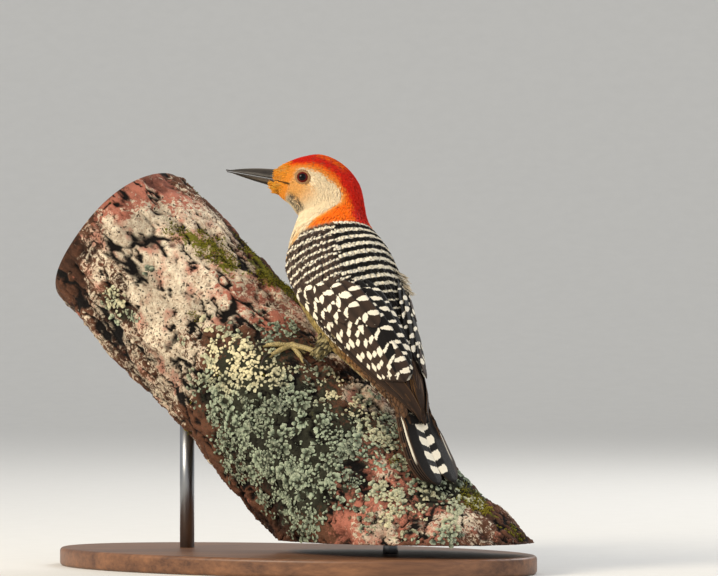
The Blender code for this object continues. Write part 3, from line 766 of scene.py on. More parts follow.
# %% The whole coat
add_coat("coat_face", 0.12, 2.2, 11, "red_plumage")
add_coat("coat_crown", 2.2, 3.3, 13, "red_plumage")
add_coat("coat_cheek", 3.3, 4.3, 15, "red_plumage")
add_coat("coat_nape", 4.3, 5.3, 17, "red_plumage")
add_coat("coat_neck", 5.3, 8.0, 21, "cream_plumage")
add_coat("coat_body", 8.0, 15.2, 31, "barred_plumage")


# %% Skin piece
def add_skin():
    section, degrees = body_places(SKIN_POINTS)
    ground, mark, bars, pale = markings(section, degrees, np.full(len(section), 0.5))
    zero = np.zeros(len(section))
    add_piece("skin", SKIN_POINTS, SKIN_FACES, COVERT_KERATIN, "cream_plumage", FLESH,
              colours={"ground": ground * 0.6, "mark": mark * 0.6},
              vectors={"bars": np.stack([bars, pale, zero], axis=-1), "vane": np.stack([zero] * 3, axis=-1)})


add_skin()


# %% [markdown]
# ## Flight feathers
#
# The long feathers of a wing are laid one by one. When the wing is folded they slide under each other like
# the sticks of a fan: the primaries lowest, with only their outer edges and tips in sight, the secondaries
# over them, and the three broad tertials on top, next to the back. Each has a stiff shaft, an outer vane that
# is narrower than the inner one, and pale rungs across both. A row of the table is one feather: where its
# shaft starts and ends on the folded wing, how wide it is, and how high it lies in the stack.

# %% Shapes of the long feathers
QUILL_COLUMNS = (-1.0, -0.85, -0.5, -0.12, 0.0, 0.12, 0.5, 0.85, 1.0)
QUILL_STATIONS = np.linspace(0.0, 1.0, 22)
QUILL_THICKNESS = 0.14
SHAFT_RISE = 0.16
WING_CUP = 0.016  # how far a vane bends down to the body, for each square millimetre across


def quill_outline(point_from):
    """Width along a long feather: narrow at the root, and rounded or pointed towards the tip."""
    root = ease(-0.15, 0.30, QUILL_STATIONS)
    tip = np.clip((QUILL_STATIONS - point_from) / (1.0 - point_from), 0.0, 1.0)
    return root * np.sqrt(np.maximum(1.0 - tip**2, 0.012))


def wing_point(side):
    """A surface over one folded wing, given by section and share across it."""
    def place(section, share, out=0.0):
        upper, lower = column(WING_EDGES, 1, section), column(WING_EDGES, 2, section)
        return body_point(section, side * (upper + (lower - upper) * share), out)
    return place


def away_from_line(section, paths):
    """Straight out from the line of the body, which is the way up for a feather on a folded wing."""
    row, tailward, _, _ = body_frame(section)
    away = paths - row[..., :3]
    return unit(away - tailward * (away * tailward).sum(axis=-1, keepdims=True))


def add_quills(name, chart, outward_of, rows, heights, point_from, skew, colour_of, slot, replaced=()):
    """rows: section and share of the root, section and share of the tip, half width, for each feather."""
    rows = np.asarray(rows, float)
    start, end, half = rows[:, None, 0:2], rows[:, None, 2:4], rows[:, 4]
    t = QUILL_STATIONS[None, :]
    section = start[..., 0] + (end[..., 0] - start[..., 0]) * t
    share = start[..., 1] + (end[..., 1] - start[..., 1]) * (1.6 * t - 0.6 * t**2)
    paths = chart(section, share, heights(section, share))
    outward = outward_of(section, paths)
    widths = half[:, None] * np.stack([quill_outline(p) for p in np.broadcast_to(point_from, len(rows))])
    points, faces = leaves(paths, outward, widths, QUILL_COLUMNS, QUILL_THICKNESS, WING_CUP, skew)
    steps = lengths_along(paths)
    across, level = ring_of(QUILL_COLUMNS)
    shaft = (np.abs(across) < 0.03) & (level > 0)
    points[:, :, shaft] += (outward * SHAFT_RISE * (1 - t[..., None]) ** 0.7)[:, :, None]
    ground, mark, bars, pale = colour_of(t, steps, across)
    cell = 1.0 / len(rows)
    u = (np.arange(len(rows))[:, None, None] + 0.06 + 0.88 * (across + 1) / 2) * cell
    v = 0.02 + 0.96 * np.broadcast_to(t[..., None], points.shape[:3])
    bake = np.stack(np.broadcast_arrays(u, v), axis=-1).reshape(-1, 2)
    finish_leaves(name, points, faces, ground, mark, bars, pale, widths, steps, QUILL_COLUMNS, bake,
                  FLIGHT_KERATIN, slot, replaced)


FLIGHT_KERATIN = plumage("feather_keratin_stiff", roughness=0.55, bar_softness=0.03, grain=0.16)
INK, UMBER, DRAB, TAN = linear("#14100D"), linear("#33241A"), linear("#3F3026"), linear("#80592F")


# %% Wing feathers
# section and share of the root, section and share of the tip, half width
TERTIALS = [(10.4, 0.03, 12.75, 0.07, 4.8), (10.4, 0.14, 13.25, 0.18, 5.6), (10.3, 0.28, 13.70, 0.33, 5.8)]
SECONDARIES = [
    (9.9 - 0.11 * k, 0.43 + 0.108 * k, 13.72 - 0.075 * k, 0.46 + 0.094 * k, 5.7 - 0.2 * k)
    for k in range(5)
]
PRIMARIES = [
    (9.4 - 0.05 * k, 0.90 + 0.012 * k, tip, share, 4.6 - 0.12 * k)
    for k, (tip, share) in enumerate((
        (13.9, 0.10), (14.2, 0.06), (14.5, 0.02), (14.75, 0.00), (14.95, -0.10), (15.1, -0.30), (15.0, 0.80),
        (14.8, 1.10), (14.5, 1.05), (14.1, 1.05), (13.6, 1.00)))
]
COVERTS = [
    (10.25 - 0.21 * k, 0.31 + 0.138 * k, 11.80 - 0.25 * k, 0.33 + 0.138 * k, 5.2 - 0.2 * k)
    for k in range(5)
]
THUMB_FEATHERS = [(8.55, 0.93, 9.9, 0.97, 2.6), (8.6, 0.96, 10.3, 0.985, 2.4), (8.7, 0.975, 10.8, 0.99, 2.2)]


# %% Stacking and colours of the wing feathers
EDGE_CLEAR = 0.5  # the lowest that a wing feather lies over the body


def stacked(low, high, count):
    """Heights for a stack: the first feather lies highest."""
    levels = np.linspace(high, low, count)[:, None]

    def height(section, share):
        return EDGE_CLEAR + (wing_rise(section, share) - EDGE_CLEAR) * levels
    return height


def rungs(period, pale, vane_colour, edge_colour, tip_white=0.0, start=0.08, end=0.95, drop=0.0, slant=0.3,
          chance=0.3, seed=1):
    """Colours for a group of wing feathers with pale rungs across their vanes, no two feathers alike."""
    def colour_of(t, steps, across):
        rng = np.random.default_rng(seed)
        shape = (*steps.shape, len(across), 3)
        far, t, steps = np.abs(across), t[..., None], steps[..., None]

        def draw(low, high):
            return rng.uniform(low, high, (shape[0], 1, 1))

        vane = blend(vane_colour, INK, 0.5 * ease(0.5, 0.0, far))
        vane = blend(vane, edge_colour, 0.8 * ease(0.88, 1.0, far))
        ground = blend(np.broadcast_to(vane, shape), WHITE, ease(0.962, 0.985, t) * tip_white)
        offset = drop * np.arange(shape[0])[:, None, None] + draw(-chance, chance)
        bars = steps / (period * draw(0.88, 1.12)) - slant * far + offset
        bars = bars + 0.10 * np.sin(steps * draw(0.25, 0.6) + draw(0, 6))
        uneven = 1 + 0.30 * np.sin(steps * draw(0.5, 0.9) + 2.0 * across + draw(0, 6))
        clear = (0.60 + 0.40 * ease(0.08, 0.4, far)) * (1 - 0.25 * ease(0.85, 1.0, far)) * (far > 0.05)
        shown = band(t, start, start + 0.05, end - 0.04, end)
        return ground, np.broadcast_to(WHITE, shape), bars, pale * draw(0.8, 1.2) * uneven * clear * shown
    return colour_of


# %% Both wings
def add_wing(name, side):
    chart = wing_point(side)
    # name, feathers, lowest and highest in the stack, where the tip starts, lean of the vane, colours
    groups = (
        ("primaries", PRIMARIES, (0.10, 0.42), 0.62, 0.45,
         rungs(5.6, 0.34, UMBER, TAN, start=0.05, end=0.52, seed=3)),
        ("thumb_feathers", THUMB_FEATHERS, (0.46, 0.52), 0.60, 0.40, rungs(6.0, 0.10, UMBER, TAN, seed=5)),
        ("secondaries", SECONDARIES, (0.45, 0.86), 0.86, 0.25,
         rungs(7.8, 0.44, DRAB, UMBER, 0.0, drop=0.30, slant=0.30, seed=7)),
        ("tertials", TERTIALS, (0.90, 1.00), 0.80, 0.10,
         rungs(7.2, 0.33, INK, INK, 0.75, drop=0.42, slant=0.38, chance=0.1, seed=9)),
        ("greater_coverts", COVERTS, (1.00, 1.06), 0.74, 0.15,
         rungs(7.4, 0.44, DRAB, UMBER, 0.0, drop=0.15, slant=0.32, chance=0.3, seed=13)),
    )
    for group, rows, (low, high), point_from, skew, colours in groups:
        replaced = (f"wing_{name}",) if group == "primaries" else ()
        add_quills(f"{group}_{name}", chart, away_from_line, rows, stacked(low, high, len(rows)), point_from,
                   -side * skew, colours, "barred_plumage", replaced)


add_wing("left", 1)
add_wing("right", -1)


# %% [markdown]
# ## Tail
#
# A woodpecker leans on its tail. The feathers are stiff and pointed, black, with the middle pair on top of
# the others. The inner vanes of that pair are white with black bars, which meet at the middle like arrow
# heads, and the outermost feathers show a brown, barred edge. The surface they lie on is a low roof.

# %% Tail feathers
TAIL_HALF_WIDTHS = ((14.0, 8.5), (14.7, 10.5), (15.3, 14.0), (16.0, 15.2), (17.0, 14.2))
TAIL_ROOF, TAIL_LIFT, TAIL_STEP = 2.2, 1.1, 0.42
TAIL_PAIRS = 5
TAIL_START, TAIL_LENGTH = 14.0, 2.98  # in sections
CHEVRON_PERIOD, CHEVRON_PALE, CHEVRON_SLANT = 9.0, 0.60, 0.24
BROWN = linear("#4B3524")


def tail_point(section, across, height=0.0):
    row, _, back, left = body_frame(section)
    half = column(TAIL_HALF_WIDTHS, 1, section)
    up = height - TAIL_ROOF * across**2
    return row[..., :3] + left * (half * across)[..., None] + back * up[..., None]


def back_way(section, _):
    return body_frame(section)[2]


def tail_colours(side):
    """Rank 0 is the middle pair; the outermost pair is brown with dull bars."""
    def colour_of(t, steps, across):
        rank = np.arange(len(steps))[:, None, None]
        shape = (*steps.shape, len(across), 3)
        far, t = np.abs(across), t[..., None]
        outermost = rank == len(steps) - 1
        ground = blend(np.broadcast_to(INK, shape), BROWN * 1.6,
                       ease(0.86, 1.0, far) * np.where(outermost, 1.0, 0.45))
        ground = blend(ground, BROWN, outermost * 0.7)
        strip = (rank == 1) * (across * side > 0.55) * ease(0.74, 0.70, t)
        ground = blend(ground, WHITE * 0.85, strip)
        mark = blend(np.broadcast_to(WHITE, shape), BROWN * 1.8, (rank >= 2) * 1.0)
        bars = steps[..., None] / CHEVRON_PERIOD - CHEVRON_SLANT * far
        middle = (rank == 0) * (across * side < -0.05) * CHEVRON_PALE * ease(0.92, 0.84, t)
        outer = (rank >= 3) * 0.30 * (far > 0.05) * ease(0.80, 0.62, t)
        return ground, mark, bars, np.broadcast_to(middle + outer, shape[:3])
    return colour_of


def add_tail(name, side):
    rows = []
    for k in range(TAIL_PAIRS):
        across = side * (0.41 + 0.115 * k)
        tip = TAIL_START + TAIL_LENGTH * (1 - 0.19 * abs(across) ** 1.2)
        rows.append((TAIL_START, across * 0.85, tip, across * 0.98, 6.4 - 0.5 * k))

    def height(section, share):
        return TAIL_LIFT - TAIL_STEP * np.arange(TAIL_PAIRS)[:, None] + 0.12 * side + 0 * section
    add_quills(f"tail_feathers_{name}", tail_point, back_way, rows, height, 0.72, 0.0, tail_colours(side),
               "black_feather", ("tail",) if side > 0 else ())


add_tail("left", 1)
add_tail("right", -1)


# %% [markdown]
# ## Bill
#
# The bill is bone under a sheath of horn, and the sheath is grooved lengthways and ends in a chisel. Each
# half is a run of half rings that shrink towards the tip. A straight cone looks like a toy, so the ridge of
# the upper half bows a little, the sides are pinched in beneath it, and a shallow groove runs forward from
# the nostril. Horn is smooth and slightly waxy, with dark grey growth streaks along it. A pale band along the
# ridge of the upper half is a painted highlight, and a thin pale line runs along each side of the lower half.

# %% Horn
def horn(name, dark, light, roughness, streak):
    made, tree, shader = start_material(name, Coat_Weight=0.05, Coat_Roughness=0.3, Specular_IOR_Level=0.3)
    grain = add_node(tree, "Attribute", attribute_name="grain").outputs["Vector"]
    stretched = add_node(tree, "VectorMath", grain, streak, operation="MULTIPLY")
    growth_lines = add_node(tree, "TexNoise", stretched, Scale=1.0, Detail=5.0, Roughness=0.65)
    tone = add_node(tree, "MapRange", growth_lines, 0.35, 0.72)
    # The third number of grain lightens the horn: a painted highlight along the ridge of the upper bill and a
    # pale line on the lower one. It is 0 on the claws.
    culmen_highlight_and_pale_line = add_node(tree, "SeparateXYZ", grain).outputs["Z"]
    lift = add_node(tree, "Math", tone, 0.32, culmen_highlight_and_pale_line, operation="MULTIPLY_ADD", use_clamp=True)
    colour = add_node(tree, "Mix", lift, data_type="RGBA", _6=rgba(dark), _7=rgba(light))
    gloss = add_node(tree, "MapRange", growth_lines, To_Min=roughness - 0.1, To_Max=roughness + 0.15)
    bump = add_node(tree, "Bump", Height=growth_lines, Strength=0.4, Distance=0.0002)
    feed(tree, shader, Base_Color=colour, Roughness=gloss, Normal=bump)
    return made


BILL_HORN = horn("bill_horn", "#0D0B0A", "#6E6152", 0.36, (0.25, 9.0, 0.0))
CLAW_HORN = horn("claw_horn", "#17110D", "#5A4A3B", 0.35, (0.5, 6.0, 0.0))


# %% Both halves of the bill
BILL_TIP = np.array([-37.4, -4.6, 217.4])
BILL_ABOVE, BILL_BELOW, BILL_SIDE = 4.6, 4.4, 4.4
BILL_GAP = 0.26
GAPE_SHARE = 0.15
BILL_RINGS, BILL_POINTS = 70, 28
BILL_ROOT = 3.0  # how far it runs back under the feathers


def bill_half(name, upper):
    row, _, back, left = body_frame(0.0)
    base = row[:3]
    length = np.linalg.norm(BILL_TIP - base)
    t = np.linspace(-BILL_ROOT / length, 1.0, BILL_RINGS)[:, None]
    angle = np.linspace(0, math.pi, BILL_POINTS)[None, :]
    ahead = np.clip(t, 0.0, 1.0)
    size = np.maximum(1 - ahead**1.22, 0.11)
    bow = 0.45 * np.sin(math.pi * ahead) ** 1.2
    if upper:
        height = (BILL_ABOVE + BILL_BELOW * GAPE_SHARE) * size + bow
        # painted highlight: a pale band along the ridge of the upper half
        pale = 0.50 * np.exp(-(np.cos(angle) / 0.36) ** 2) * band(ahead, 0.0, 0.12, 0.45, 0.80)
    else:
        height = BILL_BELOW * (1 - GAPE_SHARE) * size + 0.35 * bow
        pale = 0.75 * np.exp(-((np.abs(np.cos(angle)) - 0.85) / 0.12) ** 2) * ease(0.75, 0.2, ahead)
    width = BILL_SIDE * np.maximum(1 - ahead**1.05, 0.13)
    pinch = 1 - 0.10 * np.sin(2 * angle) ** 2 * ease(0.0, 0.1, ahead) * ease(1.0, 0.8, ahead)
    groove = 0.16 * np.exp(-((np.abs(np.cos(angle)) - 0.78) / 0.09) ** 2) * ease(0.62, 0.05, ahead)
    ridge = 0.10 * np.exp(-((np.cos(angle)) / 0.10) ** 2)
    grooves = 0.035 * np.sin(34 * angle) * ease(0.95, 0.7, ahead)
    lift = BILL_GAP / 2 + np.sin(angle) ** 0.85 * (height * pinch + ridge + grooves) - groove * 0.5
    side = width * np.cos(angle) * pinch * (1 - groove / 4.4)
    way = 1.0 if upper else -1.0
    gape = base - back * BILL_BELOW * GAPE_SHARE
    tip = BILL_TIP + (0 if upper else -0.02 * (BILL_TIP - gape))
    middle = gape + (tip - gape) * t[..., None]
    points = middle + back * (way * np.maximum(lift, BILL_GAP / 2))[..., None] + left * side[..., None]
    rings, count = points.shape[:2]
    faces = tube_faces(rings, count)
    if upper:
        faces = [face[::-1] for face in faces]
    grain = np.stack([t * length + 0 * angle, angle * 2.6 + 0 * t, pale + 0 * t], axis=-1)
    return add_piece(f"{name}_horn", points.reshape(-1, 3), faces, BILL_HORN, "bill_horn", (name,),
                     vectors={"grain": grain.reshape(-1, 3)})


for bill_name, is_upper in (("bill_upper", True), ("bill_lower", False)):
    bill_half(bill_name, is_upper)


# %% [markdown]
# ## Eyes
#
# The eye of an adult is dark red-brown round a large black pupil, under a clear wet cornea, and a ring of
# bare beige skin folds round it: the lids. The ball is a sphere whose cornea bulges a little. The lid is a
# profile carried round the eye, which starts on the ball, rises over its rim and goes down under the
# feathers, with two creases in it.

# %% Eyeballs
EYE_RADIUS, EYE_RISE, EYE_DEPTH = 3.9, 0.6, 2.6
PUPIL_ANGLE, IRIS_ANGLE, CORNEA_BULGE = 30.0, 56.0, 0.25


def eye_place(side):
    """Centre of the eye, and the way it looks: out, and a little forward."""
    row, tailward, back, left = body_frame(EYE_SECTION)
    centre = row[:3] + back * EYE_RISE + left * side * (row[5] - EYE_DEPTH)
    return centre, unit(left * side - tailward * 0.10 + back * 0.02), tailward, back


def eye_material():
    made, tree, shader = start_material("wet_eye", Roughness=0.6, Specular_IOR_Level=0.0, Coat_Weight=0.45,
                                        Coat_Roughness=0.02, Coat_IOR=1.40)
    off = add_node(tree, "Attribute", attribute_name="off_axis").outputs["Fac"]
    around = add_node(tree, "TexCoord").outputs["Object"]
    fibres = add_node(tree, "TexNoise", around, Scale=2500.0, Detail=2.0)
    iris = add_node(tree, "Mix", fibres, data_type="RGBA", _6=rgba("#2E0705"), _7=rgba("#78160D"))
    in_pupil = add_node(tree, "MapRange", off, PUPIL_ANGLE - 1.5, PUPIL_ANGLE + 1.5)
    past_iris = add_node(tree, "MapRange", off, IRIS_ANGLE - 8, IRIS_ANGLE)
    inner = add_node(tree, "Mix", in_pupil, data_type="RGBA", _6=rgba("#050404"), _7=iris)
    whole = add_node(tree, "Mix", past_iris, data_type="RGBA", _6=inner, _7=rgba("#1A0F0B"))
    feed(tree, shader, Base_Color=whole)
    return made


# %% Both eyeballs
WET_EYE = eye_material()


def add_eye(name, side):
    centre, look, _, _ = eye_place(side)
    bpy.ops.object.select_all(action="DESELECT")
    bpy.ops.mesh.primitive_uv_sphere_add(segments=64, ring_count=40, radius=EYE_RADIUS * MM)
    points, faces = read_mesh(bpy.context.object)
    off = np.degrees(np.arccos(np.clip(unit(points) @ look, -1, 1)))
    bulge = CORNEA_BULGE * ease(IRIS_ANGLE, PUPIL_ANGLE * 0.4, off)
    points = points + unit(points) * bulge[:, None] + centre
    add_piece(f"eye_{name}_ball", points, faces, WET_EYE, "eye_brown", (f"eye_{name}",),
              floats={"off_axis": off})


# %% Lids
# distance from the eye's axis, height along it from the eye's centre
LID_PROFILE = ((2.75, 1.6), (2.84, 2.60), (3.02, 2.84), (3.20, 2.90), (3.34, 2.72), (3.42, 2.46),
               (3.54, 2.70), (3.72, 2.72), (3.88, 2.46), (4.2, 2.0), (4.6, 1.2), (4.2, 0.6))
LID_STEPS = 72


def bare_skin(name, dark, light, roughness, scale):
    made, tree, shader = start_material(name, Roughness=roughness, Coat_Weight=0.08, Coat_Roughness=0.4)
    where = add_node(tree, "TexCoord").outputs["Object"]
    scales = add_node(tree, "TexVoronoi", where, feature="DISTANCE_TO_EDGE", Scale=scale)
    tone = add_node(tree, "TexNoise", where, Scale=scale * 0.4, Detail=4.0)
    crease = add_node(tree, "MapRange", scales, From_Max=0.12)
    both = add_node(tree, "Math", crease, tone, operation="MULTIPLY")
    shade = add_node(tree, "MapRange", both, 0.05, 0.6)
    colour = add_node(tree, "Mix", shade, data_type="RGBA", _6=rgba(dark), _7=rgba(light))
    bump = add_node(tree, "Bump", Height=both, Strength=0.5, Distance=0.0002)
    feed(tree, shader, Base_Color=colour, Normal=bump)
    return made


LID_SKIN = bare_skin("lid_skin", "#5A3E26", "#C4935A", 0.5, 5200.0)


# %% Lids round both eyes
def lid_parts(side):
    centre, look, tailward, back = eye_place(side)
    ahead = unit(-tailward - look * np.dot(-tailward, look))
    above = np.cross(look, ahead) * (1 if np.dot(np.cross(look, ahead), back) > 0 else -1)
    profile = np.array(LID_PROFILE)
    angle = np.linspace(0, 2 * math.pi, LID_STEPS, endpoint=False)[:, None]
    far = profile[:, 0] * (1 + 0.05 * np.cos(2 * angle)) + 0.10 * np.maximum(-np.sin(angle), 0)
    round_point = ahead * np.cos(angle)[..., None] + above * np.sin(angle)[..., None]
    points = centre + round_point * far[..., None] + look * (profile[:, 1] + 0 * angle)[..., None]
    count = len(profile)
    faces = []
    for i in range(LID_STEPS):
        for k in range(count):
            here, there = i * count, (i + 1) % LID_STEPS * count
            faces.append((here + k, here + (k + 1) % count, there + (k + 1) % count, there + k))
    return points.reshape(-1, 3), faces


def facing_out(name, points, faces, material, slot, **more):
    """Adds a piece and turns its faces outwards."""
    piece = add_piece(name, points, faces, material, slot, **more)
    clean_up(piece)
    piece.data.shade_smooth()
    return piece


for eye_name, eye_side in (("left", 1), ("right", -1)):
    add_eye(eye_name, eye_side)
    facing_out(f"eyelids_{eye_name}", *lid_parts(eye_side), LID_SKIN, "scaly_skin")


# %% [markdown]
# ## The limb
#
# The perch is old wood, still in its bark. Bark splits into plates along the grain, its plates shed thin
# flakes that leave steps, and lichens grow over all: a cream crust as thin as paint, grey-green leaves that
# lift at their edges, and moss in the damp cracks. A bump map alone would leave the outline smooth, so the
# bark is real relief. Its surface is a fine grid round the limb's own line, raised and sunk by a sum of
# plates, steps, crevices and grain. Four fields, for crust, leaves, moss and rosy new bark, run over the same
# grid, and both the relief and the material read them.

# %% Noise on points
LATTICE = 32


def at_cell(table, cell):
    """Reads a table that repeats for ever at whole numbers."""
    return table[tuple(np.moveaxis(cell % LATTICE, -1, 0))]


def soft_noise(points, size, seed):
    """A smooth random number from 0 to 1 for each point, which changes over about `size` millimetres."""
    table = np.random.default_rng(seed).uniform(0, 1, (LATTICE, LATTICE, LATTICE))
    at = points / size + 100.0
    cell = np.floor(at).astype(int)
    f = at - cell
    f = f * f * (3 - 2 * f)
    total = 0.0
    for corner in np.ndindex(2, 2, 2):
        total = total + np.abs(1 - np.array(corner) - f).prod(axis=-1) * at_cell(table, cell + corner)
    return total


def rough_noise(points, size, seed, octaves=4):
    """Several sizes of noise added up, each half as large and half as strong as the one before."""
    parts = [soft_noise(points, size / 2**k, seed + k) * 0.5**k for k in range(octaves)]
    return sum(parts) / sum(0.5**k for k in range(octaves))


def cells(points, size, seed):
    """For each point: how far it is from the border of its cell, and a random number for the cell."""
    table = np.random.default_rng(seed).uniform(0, 1, (LATTICE, LATTICE, LATTICE, 4))
    at = points / size + 100.0
    home = np.floor(at).astype(int)
    near = np.full(at.shape[:-1], 9.0)
    second = near.copy()
    tone = np.zeros_like(near)
    for step in np.ndindex(3, 3, 3):
        cell = home + step - 1
        row = at_cell(table, cell)
        far = np.linalg.norm(cell + row[..., :3] - at, axis=-1)
        closer = far < near
        second = np.where(closer, near, np.minimum(second, far))
        tone = np.where(closer, row[..., 3], tone)
        near = np.where(closer, far, near)
    return (second - near) * size / 2, tone


# %% The limb's own surface
LIMB_LINE = np.array([
    (-98.0, 63.0, 181.5), (-39.0, 27.6, 122.4), (3.2, 0.0, 75.2), (36.0, -21.8, 39.6), (70.0, -44.0, 3.0),
    (104.0, -66.2, -33.6), (138.0, -88.4, -70.2)])
LIMB_RADII, LIMB_MEAN_RADIUS = (47.5, 52.0), 50.0
LIMB_LENGTH = np.linalg.norm(np.diff(LIMB_LINE, axis=0), axis=1).sum()
LIMB_FOOT_Z = 17.0  # the sawn flat under the limb
LIMB_END = 0.785  # past here all of it is sawn off
LIMB_RINGS, LIMB_SIDES = 300, 306


def limb_frame(share):
    at = np.asarray(share, float) * (len(LIMB_LINE) - 1)
    downward = unit(smooth_between(LIMB_LINE, at + 0.02) - smooth_between(LIMB_LINE, at - 0.02))
    toward_viewer = unit(FRONT + downward * downward[..., 1:2])
    return smooth_between(LIMB_LINE, at), downward, toward_viewer, np.cross(toward_viewer, downward)


def limb_point(share, degrees, height=0.0):
    """A place on the bark. Degrees run from the side that faces the viewer up over the limb."""
    centre, _, toward_viewer, upward = limb_frame(share)
    angle = np.radians(degrees)
    swell = 1 + 0.025 * np.sin(2 * angle) + 0.015 * np.sin(3 * angle - 13 * share)
    swell += 0.010 * np.sin(5 * angle + 25 * share)
    radius = (LIMB_RADII[0] + (LIMB_RADII[1] - LIMB_RADII[0]) * share) * swell + height
    ray = toward_viewer * np.cos(angle)[..., None] + upward * np.sin(angle)[..., None]
    return centre + radius[..., None] * ray


def unrolled(share, degrees):
    """The limb laid out straight, in millimetres, so that a pattern can run along its grain."""
    angle = np.radians(degrees)
    return np.stack([share * LIMB_LENGTH, LIMB_MEAN_RADIUS * np.cos(angle), LIMB_MEAN_RADIUS * np.sin(angle)],
                    axis=-1)


# %% Fields of growth
# CREAM_ZONES are the patches where lichen lobes and moss shoots are painted pale as sunlight.
# share along the limb, degrees round it, reach along and round in millimetres, strength
CREAM_ZONES = ((0.20, -8, 26, 16, 0.5), (0.27, 8, 20, 12, 0.5), (0.40, 40, 34, 12, 0.6),
               (0.62, 12, 30, 24, 0.5), (0.08, -30, 30, 18, 0.4), (0.70, 60, 20, 20, 0.4))
LEAFY_ZONES = ((0.36, 2, 42, 34, 0.42), (0.46, -18, 30, 26, 0.34), (0.25, -20, 20, 18, 0.22),
               (0.62, 52, 16, 22, 0.40), (0.73, 10, 20, 20, 0.24), (0.05, -35, 24, 14, 0.16),
               (0.30, 200, 50, 40, 0.30), (0.1, 150, 30, 30, 0.2))
CRUST_ZONES = ((0.08, 22, 40, 26, 0.18), (0.19, 30, 34, 26, 0.26), (0.02, 75, 18, 30, 0.10),
               (0.63, 0, 24, 26, 0.24), (0.72, 36, 24, 20, 0.26), (0.42, 42, 30, 14, 0.30),
               (0.13, -8, 26, 20, 0.12), (0.50, 190, 50, 60, 0.15))
MOSS_ZONES = ((0.10, 36, 14, 12, 0.30), (0.165, 70, 20, 10, 0.34), (0.145, 42, 12, 8, 0.22),
              (0.66, 64, 22, 12, 0.30), (0.02, 98, 14, 10, 0.25), (0.25, 100, 30, 16, 0.22),
              (0.55, 30, 10, 8, 0.15))
ROSY_ZONES = ((0.02, 40, 22, 30, 0.5), (0.20, 40, 22, 16, 0.55), (0.56, 8, 26, 24, 0.6),
              (0.68, 34, 26, 20, 0.35), (0.14, 12, 16, 12, 0.4))


def zone_sum(zones, share, degrees):
    total = 0.0
    for along, around, reach, width, strength in zones:
        aside = (degrees - around + 180) % 360 - 180
        far = ((share - along) * LIMB_LENGTH / reach) ** 2
        far = far + (np.radians(aside) * LIMB_MEAN_RADIUS / width) ** 2
        total = total + strength * np.exp(-far * 0.7)
    return total


def growth(share, degrees):
    """How strongly crust, leafy lichen, moss and rosy bark hold each place; over 0.5 they show."""
    flat = unrolled(share, degrees)
    patchy = rough_noise(flat, 30, 5, 5)
    crust = rough_noise(flat, 26, 15, 5) * 0.95 + zone_sum(CRUST_ZONES, share, degrees) - 0.06
    leafy = patchy * 0.62 + zone_sum(LEAFY_ZONES, share, degrees)
    moss = rough_noise(flat, 12, 35, 3) * 0.55 + zone_sum(MOSS_ZONES, share, degrees)
    rosy = rough_noise(flat, 16, 45, 4) * 0.7 + zone_sum(ROSY_ZONES, share, degrees)
    crust = crust - 0.5 * ease(0.45, 0.60, leafy)
    return crust, leafy, moss, rosy


SHED_LEVELS = (0.36, 0.43, 0.49, 0.55, 0.62)  # where a layer of the bark breaks off


def bark_relief(share, degrees):
    """Height of the bark, its cracks and a tone for each flake. Each noise has a size and a seed."""
    flat = unrolled(share, degrees)
    warp = np.stack([rough_noise(flat, 14, seed, 4) - 0.5 for seed in (61, 71, 81)], axis=-1)
    border, plate = cells((flat + warp * 26) * (0.5, 1.0, 1.0), 16.0, 91)
    crack = ease(1.3, 0.2, border) * ease(0.45, 0.60, rough_noise(flat, 20, 95, 3))
    shed = rough_noise((flat + warp * 8) * (0.75, 1.0, 1.0), 13, 101, 5)
    layers = sum(ease(level - 0.008, level + 0.008, shed) for level in SHED_LEVELS)
    flake_border, flake = cells((flat + warp * 14) * (0.7, 1.0, 1.0), 5.2, 111)
    crust, leafy, moss, rosy = growth(share, degrees)
    seam = np.abs(rough_noise((flat + warp * 10) * (0.8, 1.0, 1.0), 9.0, 171, 4) - 0.5)
    crevice = ease(0.040, 0.010, seam) * ease(0.44, 0.54, rough_noise(flat, 8, 181, 3))
    crack = np.maximum(crack, crevice)
    height = 2.2 * (rough_noise(flat, 36, 121, 3) - 0.5) + 0.6 * (layers - 2.5) - 1.5 * crack
    height += 0.5 * (flake - 0.5) - 0.35 * ease(0.6, 0.05, flake_border) * ease(0.4, 0.6, plate)
    height += 0.9 * (rough_noise(flat, 3.0, 131, 2) - 0.5) - 0.2 * crevice
    height += ease(0.48, 0.54, crust) * (0.35 + 0.6 * (rough_noise(flat, 2.0, 141, 2) - 0.5))
    height += ease(0.46, 0.54, leafy) * 1.2 * (rough_noise(flat, 4.4, 151, 2) - 0.5)
    tone = 0.35 * flake + 0.2 * plate + 0.13 * layers
    return height, crack, tone, (crust, leafy, moss, rosy)


# %% Feet of the bird on the bark
LEG_PLACES = {
    "left": (0.272, 33.0, (13.4, -40.0, 118.4), (23.0, -38.0, 131.0), 1),
    "right": (0.301, 83.0, (41.5, -15.3, 117.6), (40.5, -24.3, 131.0), -1),
}
FOOT_REACH = 17.0  # round each foot the bark is kept low


def flattened_near_feet(share, degrees, height):
    place = limb_point(share, degrees)
    for along, around, *_ in LEG_PLACES.values():
        foot = limb_point(np.array(along), np.array(around))
        near = ease(FOOT_REACH + 8, FOOT_REACH - 3, np.linalg.norm(place - foot, axis=-1))
        height = height * (1 - near) + np.minimum(height * 0.5 - 0.15, 0.25) * near
    tail = ease(26, 14, np.linalg.norm(place - body_point(np.array(17.0), np.array(180.0)), axis=-1))
    return height * (1 - tail) + np.minimum(height, 0.2) * tail


# %% [markdown]
# Bark has no gloss: it is dry cork, brown where it is whole, brick red where a flake has just gone. The crust
# is cream with black specks, its spore cups. Under leafy lichen the ground is painted nearly black, as shade
# in the gaps between the lobes. The material mixes them by the four fields, frayed by fine noise so that no
# border is smooth, paints the cracks near black as shade and darkens low places of the relief as shade. The
# sawn end
# is bare wood: year rings round the pith, stains, and the cracks that open when a cut limb dries, which are
# painted dark as the shade in them.

# %% Bark material
YEAR_RING = 1.1  # half the width of a year's ring


